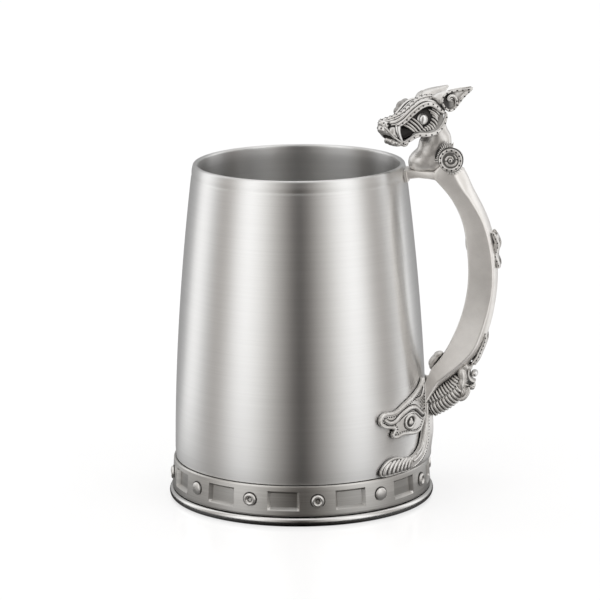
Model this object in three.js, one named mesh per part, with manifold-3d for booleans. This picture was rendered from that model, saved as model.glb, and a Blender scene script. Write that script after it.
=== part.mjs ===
// A lidless pewter tankard with a beast-head handle.
// Millimetres, +Z up. The origin is on the cup's axis, on the surface it stands on.
// +X points from the cup towards the handle. The beast's left side faces -Y.

import * as THREE from "three";
import { mergeVertices } from "three/addons/utils/BufferGeometryUtils.js";
import Module from "manifold-3d";

const wasm = await Module();
wasm.setup();

// Driving dimensions of the cup
const RIM_HEIGHT = 127;
const RIM_RADIUS = 39.65;
const SHOULDER_RADIUS = 47.6;   // the cup just above the base band
const TAPER_POWER = 1.8;        // how late the wall starts to lean in
const WALL = 1.9;
const LIP_HEIGHT = 3.2;         // the turned line under the lip is this far below the rim
const FLOOR_UNDERSIDE = 3.2;
const FLOOR_THICKNESS = 1.9;
const FLOOR_FILLET = 5;
const SKIRT_RADIUS = 46.4;      // the cup's lower wall, hidden behind the band
const GAP = 0.3;                // solder gap between neighbouring pieces

// Driving dimensions of the base
const FOOT_RADIUS = 50;
const FOOT_HEIGHT = 3.3;
const PLATE_THICKNESS = 2.9;
const PLATE_RADIUS = 46.2;
const BAND_BOTTOM = 3.6;
const BAND_TOP = 15;
const BAND_LOWER_RADIUS = 49;
const BAND_UPPER_RADIUS = 48.2;
const BAND_DIVISIONS = 12;      // panels, and studs between them
const PANEL_WIDTH = 12;
const PANEL_HEIGHT = 7.2;
const PANEL_DEPTH = 0.8;
const STUD_HEIGHT = 9.4;
const STUD_RADIUS = 2.4;

// Driving dimensions of the handle
const BOW_WIDTH = 13;
const HUB = { x: 57.4, z: 128.5, radius: 4.7 };
const ARM_BOTTOM = 121.9;
const ARM_TOP = 125;
const ARM_WIDTH = 8;
const NECK_TOP = 139.2;
const HEAD_TURN = THREE.MathUtils.degToRad(33);   // the beast looks towards its left
const HEAD_AXIS_X = 52;
const SKULL_HALF_WIDTH = 6.9;
const MUZZLE_HALF_WIDTH = 4.6;

const AROUND = 60;              // facets round the cup

const PEWTER = { color: 0xb9b7b2, roughness: 0.36, metalness: 1 };
const POLISHED = { color: 0xc9c8c4, roughness: 0.22, metalness: 1 };
const AGED = { color: 0x9b9993, roughness: 0.48, metalness: 1 };

const tankard = new THREE.Group();

// ---------------------------------------------------------------- helpers

function signedVolume(position, index) {
  const a = new THREE.Vector3();
  const b = new THREE.Vector3();
  const c = new THREE.Vector3();
  let total = 0;
  for (let i = 0; i < index.length; i += 3) {
    a.fromBufferAttribute(position, index[i]);
    b.fromBufferAttribute(position, index[i + 1]);
    c.fromBufferAttribute(position, index[i + 2]);
    total += a.dot(b.cross(c));
  }
  return total / 6;
}

// Welds a geometry's shared corners, drops its empty triangles and turns its faces outwards.
function weld(geometry) {
  const bare = geometry.clone();
  bare.deleteAttribute("normal");
  bare.deleteAttribute("uv");
  const merged = mergeVertices(bare, 1e-4);
  const corners = merged.index.array;
  const index = [];
  for (let i = 0; i < corners.length; i += 3) {
    const [a, b, c] = [corners[i], corners[i + 1], corners[i + 2]];
    if (a !== b && b !== c && c !== a) index.push(a, b, c);
  }
  if (signedVolume(merged.attributes.position, index) < 0) index.reverse();
  merged.setIndex(index);
  return merged;
}

function solid(geometry) {
  const welded = weld(geometry);
  return new wasm.Manifold(new wasm.Mesh({
    numProp: 3,
    vertProperties: welded.attributes.position.array,
    triVerts: Uint32Array.from(welded.index.array),
  }));
}

function geometryOf(manifold) {
  const mesh = manifold.getMesh();
  const geometry = new THREE.BufferGeometry();
  geometry.setAttribute("position", new THREE.BufferAttribute(mesh.vertProperties, 3));
  geometry.setIndex(new THREE.BufferAttribute(mesh.triVerts, 1));
  return geometry;
}

function addPiece(name, shape, finish, parent = tankard) {
  const geometry = shape.isBufferGeometry ? weld(shape) : geometryOf(shape);
  geometry.computeVertexNormals();
  const mesh = new THREE.Mesh(geometry, new THREE.MeshStandardMaterial(finish));
  mesh.name = name;
  parent.add(mesh);
  return mesh;
}

// A solid of revolution about +Z from [radius, height] points.
function turned(points, segments = AROUND) {
  const profile = points.map(([radius, height]) => new THREE.Vector2(radius, height));
  return new THREE.LatheGeometry(profile, segments).rotateX(Math.PI / 2);
}

// A turned ring: its profile closes on itself.
function ring(points, segments = AROUND) {
  return turned([...points, points[0]], segments);
}

// An outline in the XZ plane, pushed out to the same distance on both sides of it.
function slab(shape, halfWidth, bevel = 0, curveSegments = 8) {
  const depth = 2 * (halfWidth - bevel);
  const geometry = new THREE.ExtrudeGeometry(shape, {
    depth,
    curveSegments,
    bevelEnabled: bevel > 0,
    bevelThickness: bevel,
    bevelSize: bevel,
    bevelOffset: -bevel,
    bevelSegments: 2,
  });
  return geometry.translate(0, 0, -depth / 2).rotateX(Math.PI / 2);
}

function toPoints(pairs) {
  return pairs.map(([x, z]) => new THREE.Vector2(x, z));
}

// A closed outline with a smooth curve through the points given.
function smoothOutline(pairs, pointsPerSpan = 2) {
  const knots = pairs.map(([x, z]) => new THREE.Vector3(x, z, 0));
  const curve = new THREE.CatmullRomCurve3(knots, true, "centripetal");
  const places = curve.getPoints(pairs.length * pointsPerSpan).slice(0, -1);
  return new THREE.Shape(places.map(({ x, y }) => new THREE.Vector2(x, y)));
}

function straightOutline(pairs) {
  return new THREE.Shape(toPoints(pairs));
}

function box(low, high) {
  const size = high.map((value, axis) => value - low[axis]);
  const middle = high.map((value, axis) => (value + low[axis]) / 2);
  return new THREE.BoxGeometry(...size).translate(...middle);
}

function ball(radius, x, y, z, widthSegments = 12, heightSegments = 8) {
  return new THREE.SphereGeometry(radius, widthSegments, heightSegments).translate(x, y, z);
}

function ellipsoid([rx, ry, rz], [x, y, z], lean = 0) {
  return new THREE.SphereGeometry(1, 20, 12)
    .scale(rx, ry, rz)
    .rotateY(lean)
    .translate(x, y, z);
}

// -------------------------------------------------------------------- cup

function wallRadius(height) {
  const rise = (height - BAND_TOP) / (RIM_HEIGHT - BAND_TOP);
  return SHOULDER_RADIUS - (SHOULDER_RADIUS - RIM_RADIUS) * Math.max(rise, 0) ** TAPER_POWER;
}

function barrel() {
  const lip = WALL / 2;
  const lipCentre = RIM_HEIGHT - lip;
  const lineHeight = RIM_HEIGHT - LIP_HEIGHT;
  const floorTop = FLOOR_UNDERSIDE + FLOOR_THICKNESS;
  const steps = 8;
  const points = [[0, FLOOR_UNDERSIDE], [SKIRT_RADIUS, FLOOR_UNDERSIDE]];
  points.push([SKIRT_RADIUS, BAND_TOP + GAP]);
  for (let i = 0; i <= steps; i += 1) {
    const height = THREE.MathUtils.lerp(BAND_TOP + GAP, lineHeight - 0.5, i / steps);
    points.push([wallRadius(height), height]);
  }
  points.push([wallRadius(lineHeight) - 0.25, lineHeight]);
  points.push([wallRadius(lineHeight) + 0.1, lineHeight + 0.5]);
  const lipMiddle = RIM_RADIUS - lip;
  for (let i = 0; i <= 5; i += 1) {
    const turn = Math.PI * i / 5;
    points.push([lipMiddle + lip * Math.cos(turn), lipCentre + lip * Math.sin(turn)]);
  }
  for (let i = 1; i <= steps; i += 1) {
    const height = THREE.MathUtils.lerp(lipCentre, BAND_TOP, i / steps);
    points.push([wallRadius(height) - WALL, height]);
  }
  const inner = SKIRT_RADIUS - WALL;
  for (let i = 0; i <= 3; i += 1) {
    const turn = Math.PI / 2 * i / 3;
    points.push([
      inner - FLOOR_FILLET * (1 - Math.cos(turn)),
      floorTop + FLOOR_FILLET * (1 - Math.sin(turn)),
    ]);
  }
  points.push([0, floorTop]);
  return turned(points);
}

function basePlate() {
  const chamfer = 0.4;
  return turned([
    [0, 0],
    [PLATE_RADIUS - chamfer, 0],
    [PLATE_RADIUS, chamfer],
    [PLATE_RADIUS, PLATE_THICKNESS],
    [0, PLATE_THICKNESS],
  ]);
}

function footRing() {
  const inner = PLATE_RADIUS + GAP;
  const flat = FOOT_RADIUS - 1.3;
  const points = [[inner, 0]];
  for (let i = 0; i <= 6; i += 1) {
    const turn = -Math.PI / 2 + Math.PI * i / 6;
    points.push([flat + 1.3 * Math.cos(turn), FOOT_HEIGHT / 2 * (1 + Math.sin(turn))]);
  }
  points.push([inner, FOOT_HEIGHT]);
  return ring(points);
}

// ------------------------------------------------------------- base band

function bandRadius(height) {
  const rise = (height - BAND_BOTTOM) / (BAND_TOP - BAND_BOTTOM);
  return THREE.MathUtils.lerp(BAND_LOWER_RADIUS, BAND_UPPER_RADIUS, rise);
}

// One sunk panel's cutter: a flat-bottomed pocket with sloping sides, along +X.
function panelCutter() {
  const slope = 0.9;
  const outside = bandRadius(STUD_HEIGHT) + 1;
  const inside = bandRadius(STUD_HEIGHT) - PANEL_DEPTH;
  const mouth = outside - inside;
  const cutter = new THREE.CylinderGeometry(
    Math.SQRT1_2 * (1 + slope * mouth / PANEL_HEIGHT),
    Math.SQRT1_2 * (1 - slope / PANEL_HEIGHT),
    mouth, 4, 1, false, Math.PI / 4,
  );
  return cutter
    .scale(PANEL_WIDTH, 1, PANEL_HEIGHT)
    .rotateZ(-Math.PI / 2)
    .translate((outside + inside) / 2, 0, STUD_HEIGHT);
}

// A stud's round pocket, along +X.
function pocketCutter() {
  const inside = bandRadius(STUD_HEIGHT) - 1;
  return new THREE.CylinderGeometry(STUD_RADIUS + GAP, STUD_RADIUS + GAP, 4, 20)
    .rotateZ(-Math.PI / 2)
    .translate(inside + 2, 0, STUD_HEIGHT);
}

function baseBand() {
  const inner = SKIRT_RADIUS + GAP;
  const edge = 0.5;
  const blank = ring([
    [inner, BAND_BOTTOM],
    [bandRadius(BAND_BOTTOM) - edge, BAND_BOTTOM],
    [bandRadius(BAND_BOTTOM + edge), BAND_BOTTOM + edge],
    [bandRadius(BAND_TOP - edge), BAND_TOP - edge],
    [bandRadius(BAND_TOP) - edge, BAND_TOP],
    [inner, BAND_TOP],
  ], 72);
  let band = solid(blank);
  const step = 2 * Math.PI / BAND_DIVISIONS;
  for (let i = 0; i < BAND_DIVISIONS; i += 1) {
    band = band.subtract(solid(panelCutter().rotateZ(i * step)));
    band = band.subtract(solid(pocketCutter().rotateZ((i + 0.5) * step)));
  }
  return band;
}

// A stud standing on +Z, to be turned outwards: a plain low dome.
function domeStud() {
  const points = [[0, 0], [STUD_RADIUS, 0], [STUD_RADIUS, 0.9]];
  for (let i = 1; i <= 4; i += 1) {
    const turn = Math.PI / 2 * i / 4;
    points.push([STUD_RADIUS * Math.cos(turn), 0.9 + 0.9 * Math.sin(turn)]);
  }
  return turned(points, 16);
}

// A stud with a raised ring round a hollow.
function ringStud() {
  return turned([
    [0, 0],
    [STUD_RADIUS, 0],
    [STUD_RADIUS, 1],
    [STUD_RADIUS - 0.4, 1.6],
    [STUD_RADIUS - 0.9, 1.7],
    [1, 1.2],
    [0.8, 0.6],
    [0, 0.6],
  ], 16);
}

function addStuds() {
  const seat = bandRadius(STUD_HEIGHT) - 1 + GAP;
  const step = 360 / BAND_DIVISIONS;
  const count = { dome: 0, ring: 0 };
  for (let i = 0; i < BAND_DIVISIONS; i += 1) {
    const degrees = (i + 0.5) * step;
    const kind = Math.round(degrees) % 90 === 45 ? "dome" : "ring";
    const stud = kind === "dome" ? domeStud() : ringStud();
    count[kind] += 1;
    const mount = new THREE.Group();
    mount.rotation.z = THREE.MathUtils.degToRad(degrees);
    tankard.add(mount);
    const finish = kind === "dome" ? POLISHED : PEWTER;
    const piece = addPiece(`${kind}_stud_${count[kind]}`, stud, finish, mount);
    piece.position.set(seat, 0, STUD_HEIGHT);
    piece.rotation.y = Math.PI / 2;
  }
}

// ----------------------------------------------------- handle and its arm

// The bow's inner line, from the cup up to the arm, and its outer line back down.
const BOW_INNER = [
  [49.7, 49.3], [54.6, 55.6], [59.1, 64.9], [62.1, 74], [63.7, 84],
  [63.5, 94.6], [61.7, 106], [57.5, 115], [51.2, 122.4],
];
const BOW_OUTER = [
  [61.4, 122.6], [62.8, 119.2], [66, 114.2], [70.2, 106], [72.6, 98], [73.2, 90], [73, 84],
  [72, 76], [69.4, 66.2], [65.5, 57], [60.6, 50.3], [53.5, 43.8],
];

function bowOutline() {
  const shape = new THREE.Shape();
  shape.moveTo(40, 42);
  shape.lineTo(...BOW_INNER[0]);
  shape.splineThru(toPoints(BOW_INNER.slice(1)));
  shape.lineTo(BOW_INNER.at(-1)[0], ARM_TOP + GAP);
  shape.absarc(HUB.x, HUB.z, HUB.radius, THREE.MathUtils.degToRad(195), -0.4, true);
  shape.splineThru(toPoints(BOW_OUTER));
  shape.lineTo(40, 32.6);
  return shape;
}

// The cup with the wrapped castings' thickness: what the handle's pieces are cut back by.
function cupClearance(extra) {
  const points = [[0, BAND_BOTTOM]];
  for (let i = 0; i <= 8; i += 1) {
    const height = THREE.MathUtils.lerp(BAND_TOP, RIM_HEIGHT, i / 8);
    points.push([wallRadius(height) + extra, height]);
  }
  points.push([RIM_RADIUS + extra, RIM_HEIGHT + 1], [0, RIM_HEIGHT + 1]);
  return solid(turned(points, 96));
}

const ARM_END = BOW_INNER.at(-1)[0] - GAP;

const arm = straightOutline([
  [36, ARM_BOTTOM],
  [ARM_END, ARM_BOTTOM + 0.4],
  [ARM_END, ARM_TOP],
  [36, ARM_TOP],
]);

const armPad = straightOutline([
  [36, ARM_BOTTOM - 1.2],
  [48, ARM_BOTTOM - 1.2],
  [48, ARM_TOP + 0.3],
  [36, ARM_TOP + 0.3],
]);

// A shell that follows the cup's wall, from one height to another.
function wallShell(inner, outer, bottom, top) {
  const points = [];
  const steps = 5;
  for (let i = 0; i <= steps; i += 1) {
    const height = THREE.MathUtils.lerp(bottom, top, i / steps);
    points.push([wallRadius(height) + outer, height]);
  }
  for (let i = 0; i <= steps; i += 1) {
    const height = THREE.MathUtils.lerp(top, bottom, i / steps);
    points.push([wallRadius(height) + inner, height]);
  }
  return solid(ring(points, 96));
}

const PAD_THICKNESS = 0.8;

// ------------------------------------------------- neck, ribs and rosettes

// The clear space that the bow's hub and the arm leave under the neck.
function hubClearance() {
  const hub = new THREE.CylinderGeometry(HUB.radius + GAP, HUB.radius + GAP, 40, 32)
    .translate(HUB.x, 0, HUB.z);
  const bowTop = straightOutline([
    [ARM_END, 100],
    [ARM_END, ARM_TOP + 2 * GAP],
    [HUB.x - HUB.radius - GAP, HUB.z - 1],
    [HUB.x - HUB.radius - GAP, HUB.z],
    [80, HUB.z],
    [80, 100],
  ]);
  return solid(hub)
    .add(solid(slab(bowTop, 20)))
    .add(solid(box([20, -20, 100], [80, 20, ARM_TOP + GAP])));
}

const COLLAR_INNER_FACE = 4.4;
const COLLAR_OUTER_FACE = 6.9;
const COLLAR_RIBS = 10;

// A curved strip round the hub, its outer edge notched into ribs.
function collarOutline(grow) {
  const inner = HUB.radius + 2 * GAP - grow;
  const outer = HUB.radius + 2.6 + grow;
  const notch = grow > 0 ? 0 : 0.7;
  const start = THREE.MathUtils.degToRad(95) - grow / inner;
  const end = THREE.MathUtils.degToRad(185) + grow / inner;
  const points = [];
  const steps = 2 * COLLAR_RIBS;
  for (let i = 0; i <= steps; i += 1) {
    const turn = THREE.MathUtils.lerp(start, end, i / steps);
    const radius = i % 2 === 0 ? outer - notch : outer;
    points.push([HUB.x + radius * Math.cos(turn), HUB.z + radius * Math.sin(turn)]);
  }
  for (let i = steps; i >= 0; i -= 2) {
    const turn = THREE.MathUtils.lerp(start, end, i / steps);
    points.push([HUB.x + inner * Math.cos(turn), HUB.z + inner * Math.sin(turn)]);
  }
  return straightOutline(points);
}

function collar(side, grow = 0) {
  const depth = COLLAR_OUTER_FACE - COLLAR_INNER_FACE + grow;
  return new THREE.ExtrudeGeometry(collarOutline(grow), { depth, bevelEnabled: false })
    .rotateX(Math.PI / 2)
    .translate(0, grow - COLLAR_INNER_FACE, 0)
    .scale(1, -side, 1);
}

// The clear space that the neck leaves for the turned head, below and behind its cheeks.
function headClearance() {
  const behind = straightOutline([
    [-40, NECK_TOP], [-7, NECK_TOP], [-3.4, NECK_TOP + 0.8], [-1, 142], [-0.1, 144.6],
    [1.8, 146.8], [2.4, 149.6], [2.4, 170], [-40, 170],
  ]);
  return solid(slab(behind, 30).rotateZ(HEAD_TURN).translate(HEAD_AXIS_X, 0, 0));
}

function neck() {
  const chest = ellipsoid([7.6, 6.1, 5.6], [48.3, 0, 129.6], 0.25);
  const throat = ellipsoid([5.8, 5.6, 12], [51.8, 0, 134], -0.12);
  const nape = ellipsoid([4.6, 5, 13], [53.6, 0, 136.2], -0.05);
  return solid(chest)
    .add(solid(throat))
    .add(solid(nape))
    .subtract(headClearance())
    .subtract(hubClearance())
    .subtract(cupClearance(0.5))
    .subtract(solid(collar(1, GAP)))
    .subtract(solid(collar(-1, GAP)));
}

// A raised ring round a small boss, with its axis along +Z.
function rosette() {
  return turned([
    [0, 0],
    [4.5, 0],
    [4.5, 0.9],
    [4.1, 1.5],
    [3.3, 1.5],
    [2.9, 0.7],
    [1.3, 0.7],
    [1.1, 1.5],
    [0.5, 1.8],
    [0, 1.8],
  ], 24);
}

// ------------------------------------------------------------------- head
// The head's own frame: the axis of its turn is at x = 0, and it looks along -X.

const SKULL = [
  [-13.5, 140.4], [-10.6, 139.7], [-7, 139.5], [-3.6, 140.3], [-1.4, 142.3], [-0.5, 144.8],
  [1.4, 147], [2, 149.6], [0.6, 152.2], [-1.9, 153.1], [-6.4, 152.8], [-9.6, 151.4],
  [-14.2, 148.1], [-17.9, 146.5], [-22.5, 145.6], [-24.4, 144.6], [-24.7, 142.4],
  [-21.6, 140.7], [-19.2, 142.5], [-16.5, 142.9], [-14.3, 142],
];
const CHEEK = [
  [-13.5, 140.4], [-10.6, 139.7], [-7, 139.5], [-3.6, 140.3], [-1.4, 142.3], [-0.5, 144.8],
  [1.4, 147], [2, 149.6], [0.6, 151.6], [-4, 151.6], [-9.6, 151], [-13.5, 147.8], [-15.5, 144.5],
];
const JAW = [
  [-13.6, 139.8], [-13.6, 138.2], [-15.9, 136.5], [-17.4, 135.5], [-20.6, 136],
  [-21.6, 137.5], [-20.4, 138.2], [-17.6, 137.9], [-15.6, 138.7], [-14.6, 140.4],
];
const EAR = [
  [-0.1, 148.6], [-2.5, 151.3], [-2.2, 153.8], [-0.5, 155.3], [3.6, 156.2],
  [9, 156.4], [6.4, 152.6], [4.2, 149.4], [2, 148],
];
const BROW = [
  [-14.6, 146.6], [-12, 149.2], [-9.3, 151.4], [-6.8, 151.8], [-4.6, 150.8], [-3.8, 149.6],
  [-4.8, 149], [-6.9, 150.4], [-9, 150], [-11.4, 147.8], [-14.2, 145.4],
];
const EYE = { x: -9.2, y: 5.6, z: 145.5, radius: 1.8 };
const FANG = { x: -18.4, y: 3.4, bottom: 138.6, top: 142.1, radius: 0.8 };

function skull() {
  let head = solid(slab(straightOutline(SKULL), MUZZLE_HALF_WIDTH, 1))
    .add(solid(slab(straightOutline(CHEEK), SKULL_HALF_WIDTH, 1.2)));
  for (const side of [-1, 1]) {
    const socket = ball(2.9, EYE.x, side * (EYE.y + 0.7), EYE.z, 16, 10);
    head = head.subtract(solid(socket));
  }
  return head;
}

// A thin outline standing beside the skull, from its side face outwards.
function cheekPiece(outline, side, thickness) {
  return new THREE.ExtrudeGeometry(outline, {
    depth: thickness,
    curveSegments: 4,
    bevelEnabled: false,
  })
    .rotateX(Math.PI / 2)
    .translate(0, -SKULL_HALF_WIDTH - GAP, 0)
    .scale(1, -side, 1);
}

function fang(side) {
  return new THREE.ConeGeometry(FANG.radius, FANG.top - FANG.bottom, 10)
    .rotateX(-Math.PI / 2)
    .translate(FANG.x, side * FANG.y, (FANG.top + FANG.bottom) / 2);
}

const SIDES = [
  { name: "left", side: -1 },
  { name: "right", side: 1 },
];

function addHead() {
  const head = new THREE.Group();
  head.position.x = HEAD_AXIS_X;
  head.rotation.z = HEAD_TURN;
  tankard.add(head);
  addPiece("skull", skull(), PEWTER, head);
  addPiece("lower_jaw", slab(straightOutline(JAW), 3.6, 0.5), PEWTER, head);
  for (const { name, side } of SIDES) {
    addPiece(`${name}_ear`, cheekPiece(smoothOutline(EAR), side, 1.4), PEWTER, head);
    addPiece(`${name}_brow`, cheekPiece(smoothOutline(BROW), side, 1), POLISHED, head);
    addPiece(`${name}_eye`, ball(EYE.radius, EYE.x, side * EYE.y, EYE.z), POLISHED, head);
    addPiece(`${name}_fang`, fang(side), POLISHED, head);
  }
}

// ------------------------------------------- ornaments on the bow's back

const BACK_FIN = [
  [73.9, 88.2], [75, 88.6], [75.8, 91], [76.2, 94.5], [75.6, 98],
  [73.9, 101.4], [72.4, 102.6], [73.2, 98.4], [73.8, 93.5],
];
const BACK_SCROLL = [
  [67.8, 60.6], [69.4, 64.6], [70.5, 64.4], [70.2, 61], [69, 57.6], [67.6, 54.4], [66, 53.4],
  [66, 56.2],
];
const TAIL_LEAF = [
  [62.8, 51], [61.4, 49.4], [60.8, 46], [60.8, 42], [61, 39], [62.1, 37.6],
  [63.2, 39.4], [63.4, 42.4], [62.9, 46], [63.2, 50],
];
const BELLY = [
  [49.6, 38.8], [53.4, 42], [57.4, 45.8], [59.6, 48], [60.1, 44], [60.2, 39.4],
  [60.2, 36.2], [58.8, 34.4], [55.4, 32], [50.2, 30.6], [48.8, 34],
];
const ROOT_LEAF = [
  [48.2, 50.4], [48.6, 53.2], [50.6, 55.4], [52.8, 55.2], [52.4, 53.8], [50.4, 51.6],
];

const CURL = { x: 65.7, z: 47.8, radius: 1.7, wire: 0.7, width: 2.4, bead: 1 };

// A flat-sided ring standing on edge behind the tail's tip.
function tailCurl() {
  return new THREE.TorusGeometry(CURL.radius, CURL.wire, 8, 20)
    .scale(1, 1, CURL.width)
    .rotateX(Math.PI / 2)
    .translate(CURL.x, 0, CURL.z);
}

// Ribs cut across the belly's under side, from flank to flank.
function belly() {
  let body = solid(slab(straightOutline(BELLY), 5.4, 1));
  const grooves = 8;
  const centre = { x: 53, z: 46.5 };
  for (let i = 0; i < grooves; i += 1) {
    const turn = THREE.MathUtils.lerp(-1.75, -0.35, i / (grooves - 1));
    const cut = box([12.2, -10, -0.3], [22, 10, 0.3])
      .rotateY(-turn)
      .translate(centre.x, 0, centre.z);
    body = body.subtract(solid(cut));
  }
  return body;
}

// --------------------------------- castings wrapped round the cup's lower wall

// An outline given as arc length from the handle and height, seen straight on at one
// bearing from the handle, and pushed through the wall there.
function wrapCutter(pairs, bearing, side) {
  const radius = wallRadius(35);
  const flat = pairs.map(([arc, height]) => [radius * Math.sin(arc / radius - bearing), height]);
  return new THREE.ExtrudeGeometry(straightOutline(flat), { depth: 30, bevelEnabled: false })
    .rotateX(Math.PI / 2)
    .rotateZ(Math.PI / 2)
    .translate(radius - 15, 0, 0)
    .rotateZ(bearing)
    .scale(1, side, 1);
}

function wrapped(pairs, bearing, side, thickness, bottom, top) {
  const shell = wallShell(GAP, GAP + thickness, bottom, top);
  return shell.intersect(solid(wrapCutter(pairs, bearing, side)));
}

const WING = [
  [7.2, 46.4], [13.1, 45], [18.7, 43.6], [24.1, 41.9], [28.2, 39.5], [31.4, 39.1], [34.8, 39.3],
  [36.8, 38], [37, 36.4], [35.4, 34.5], [32.2, 33.3], [29.6, 32.4], [31.6, 31], [31, 29.4],
  [28.8, 28.8], [25.9, 29.5], [21.6, 28.7], [17.4, 28], [13, 28.4], [7.2, 30],
];
const FAN = [
  [22, 15.4], [36.1, 15.4], [37.6, 16.6], [36.8, 18.9], [34.3, 21], [30.8, 22.1],
  [27.1, 21.2], [23.6, 20], [21.4, 20],
];
const WING_BEARING = 0.48;      // the bearing from the handle that the wing is drawn square on to
const WING_THICKNESS = 1.2;
const WING_SPAN = { bottom: 27, top: 48 };
const FAN_BEARING = 0.62;
const FAN_THICKNESS = 1.4;
const FAN_TOP = 23;
const SPINE_TOP = 37.4;
const SPINE_THICKNESS = 1.6;
const STEM = [
  [21.4, 15.4], [20.8, 20], [18.8, 20.2], [13.5, 22.4], [11.2, 25.4],
  [9, 28.2], [6.9, 29.6], [6.9, SPINE_TOP],
];

function tailSpine() {
  const otherSide = STEM.map(([arc, height]) => [-arc, height]).reverse();
  return wrapped([...STEM, ...otherSide], 0, 1, SPINE_THICKNESS, BAND_TOP + GAP, SPINE_TOP);
}

// --------------------------------------------------------------- assembly

addPiece("barrel", barrel(), PEWTER);
addPiece("base_plate", basePlate(), PEWTER);
addPiece("foot_ring", footRing(), POLISHED);
addPiece("base_band", baseBand(), AGED);
addStuds();

const cup = cupClearance(2 * GAP);
addPiece("handle_bow", solid(slab(bowOutline(), BOW_WIDTH / 2, 1, 3)).subtract(cup), PEWTER);
const pad = solid(slab(armPad, ARM_WIDTH / 2 + 0.6))
  .intersect(wallShell(GAP, GAP + PAD_THICKNESS, ARM_BOTTOM - 3, RIM_HEIGHT));
addPiece("arm_pad", pad, PEWTER);
const armClear = cupClearance(2 * GAP + PAD_THICKNESS);
addPiece("handle_arm", solid(slab(arm, ARM_WIDTH / 2)).subtract(armClear), PEWTER);
addPiece("neck", neck(), PEWTER);
for (const { name, side } of SIDES) {
  addPiece(`${name}_collar`, collar(side), AGED);
  const disc = addPiece(`${name}_rosette`, rosette(), AGED);
  disc.rotation.x = side === -1 ? Math.PI / 2 : -Math.PI / 2;
  disc.position.set(HUB.x, side * (BOW_WIDTH / 2 + GAP), HUB.z + 0.6);
}
addHead();

addPiece("back_fin", slab(smoothOutline(BACK_FIN), 3.2, 0.3), PEWTER);
addPiece("back_scroll", slab(smoothOutline(BACK_SCROLL), 3.4, 0.3), PEWTER);
addPiece("tail_leaf", slab(smoothOutline(TAIL_LEAF), 5.2, 0.3), PEWTER);
addPiece("tail_curl", tailCurl(), PEWTER);
addPiece("tail_bead", ball(CURL.bead, CURL.x, 0, CURL.z, 12, 8), POLISHED);
addPiece("belly_ribs", belly().subtract(cupClearance(2 * GAP + SPINE_THICKNESS)), AGED);
addPiece("root_leaf", slab(smoothOutline(ROOT_LEAF), 2.6, 0.3), PEWTER);

addPiece("tail_spine", tailSpine(), PEWTER);
for (const { name, side } of SIDES) {
  const wing = wrapped(WING, WING_BEARING, side, WING_THICKNESS, WING_SPAN.bottom, WING_SPAN.top);
  addPiece(`${name}_wing`, wing, PEWTER);
  const fan = wrapped(FAN, FAN_BEARING, side, FAN_THICKNESS, BAND_TOP + GAP, FAN_TOP);
  addPiece(`${name}_fan`, fan, PEWTER);
}

export default tankard;
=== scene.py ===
# %% [markdown]
# # A pewter tankard with a beast-head handle
#
# The tankard is a spun cup with a soldered foot and a handle soldered up from small
# castings. Each casting is modelled here as its own piece, in millimetres, and stands in
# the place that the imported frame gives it. +Z is up, +X runs from the cup to the handle,
# and the beast's left side faces -Y.

# %% Load the frame
import math

import bpy
from mathutils import Matrix, Vector


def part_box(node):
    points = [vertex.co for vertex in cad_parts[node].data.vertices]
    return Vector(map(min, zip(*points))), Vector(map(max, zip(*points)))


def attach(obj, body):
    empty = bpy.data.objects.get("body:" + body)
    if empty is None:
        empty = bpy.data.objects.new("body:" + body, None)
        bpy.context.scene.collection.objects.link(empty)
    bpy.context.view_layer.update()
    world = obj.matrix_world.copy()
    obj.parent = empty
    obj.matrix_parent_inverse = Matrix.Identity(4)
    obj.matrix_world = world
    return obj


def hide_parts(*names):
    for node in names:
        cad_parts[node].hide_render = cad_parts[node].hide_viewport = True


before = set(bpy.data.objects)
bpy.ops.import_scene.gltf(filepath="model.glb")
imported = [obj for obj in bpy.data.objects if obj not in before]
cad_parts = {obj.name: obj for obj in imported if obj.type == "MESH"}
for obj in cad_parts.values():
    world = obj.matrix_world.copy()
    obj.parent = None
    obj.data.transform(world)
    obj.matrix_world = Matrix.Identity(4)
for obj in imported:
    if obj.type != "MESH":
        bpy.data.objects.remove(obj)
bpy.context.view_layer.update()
MM = 0.001
print("frame nodes:", len(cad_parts))

# %% [markdown]
# ## Sizes
#
# The frame's boxes give the cup's rim, its widest place above the band, the foot and the
# band. The wall leans in towards the rim by a power of its height: it is nearly upright at
# the foot and leans most at the lip.

# %% Sizes from the frame, in millimetres
def node_box(node):
    low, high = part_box(node)
    return low / MM, high / MM


cup_low, cup_high = node_box("barrel")
foot_low, foot_high = node_box("foot_ring")
band_low, band_high = node_box("base_band")
plate_low, plate_high = node_box("base_plate")
RIM_HEIGHT = cup_high.z
SHOULDER_RADIUS = cup_high.x
RIM_RADIUS = 39.65
WALL = 1.9
TAPER_POWER = 1.8
FOOT_RADIUS = foot_high.x
BAND_BOTTOM, BAND_TOP = band_low.z, band_high.z
BAND_LOWER_RADIUS = 49
BAND_UPPER_RADIUS = 48.2
STUD_HEIGHT = (BAND_BOTTOM + BAND_TOP) / 2 + 0.1


def wall_radius(height):
    rise = max(0, (height - BAND_TOP) / (RIM_HEIGHT - BAND_TOP))
    return SHOULDER_RADIUS - (SHOULDER_RADIUS - RIM_RADIUS) * rise ** TAPER_POWER


def band_radius(height):
    rise = (height - BAND_BOTTOM) / (BAND_TOP - BAND_BOTTOM)
    return BAND_LOWER_RADIUS + (BAND_UPPER_RADIUS - BAND_LOWER_RADIUS) * rise


print("rim", round(RIM_HEIGHT, 2), "foot", round(FOOT_RADIUS, 2), "band", BAND_BOTTOM, BAND_TOP)

# %% [markdown]
# ## Camera
#
# A long lens a good metre away, a little above the rim and nearly square to the handle,
# keeps the cup's sides almost parallel. The lens is rolled by less than half a degree.

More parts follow.
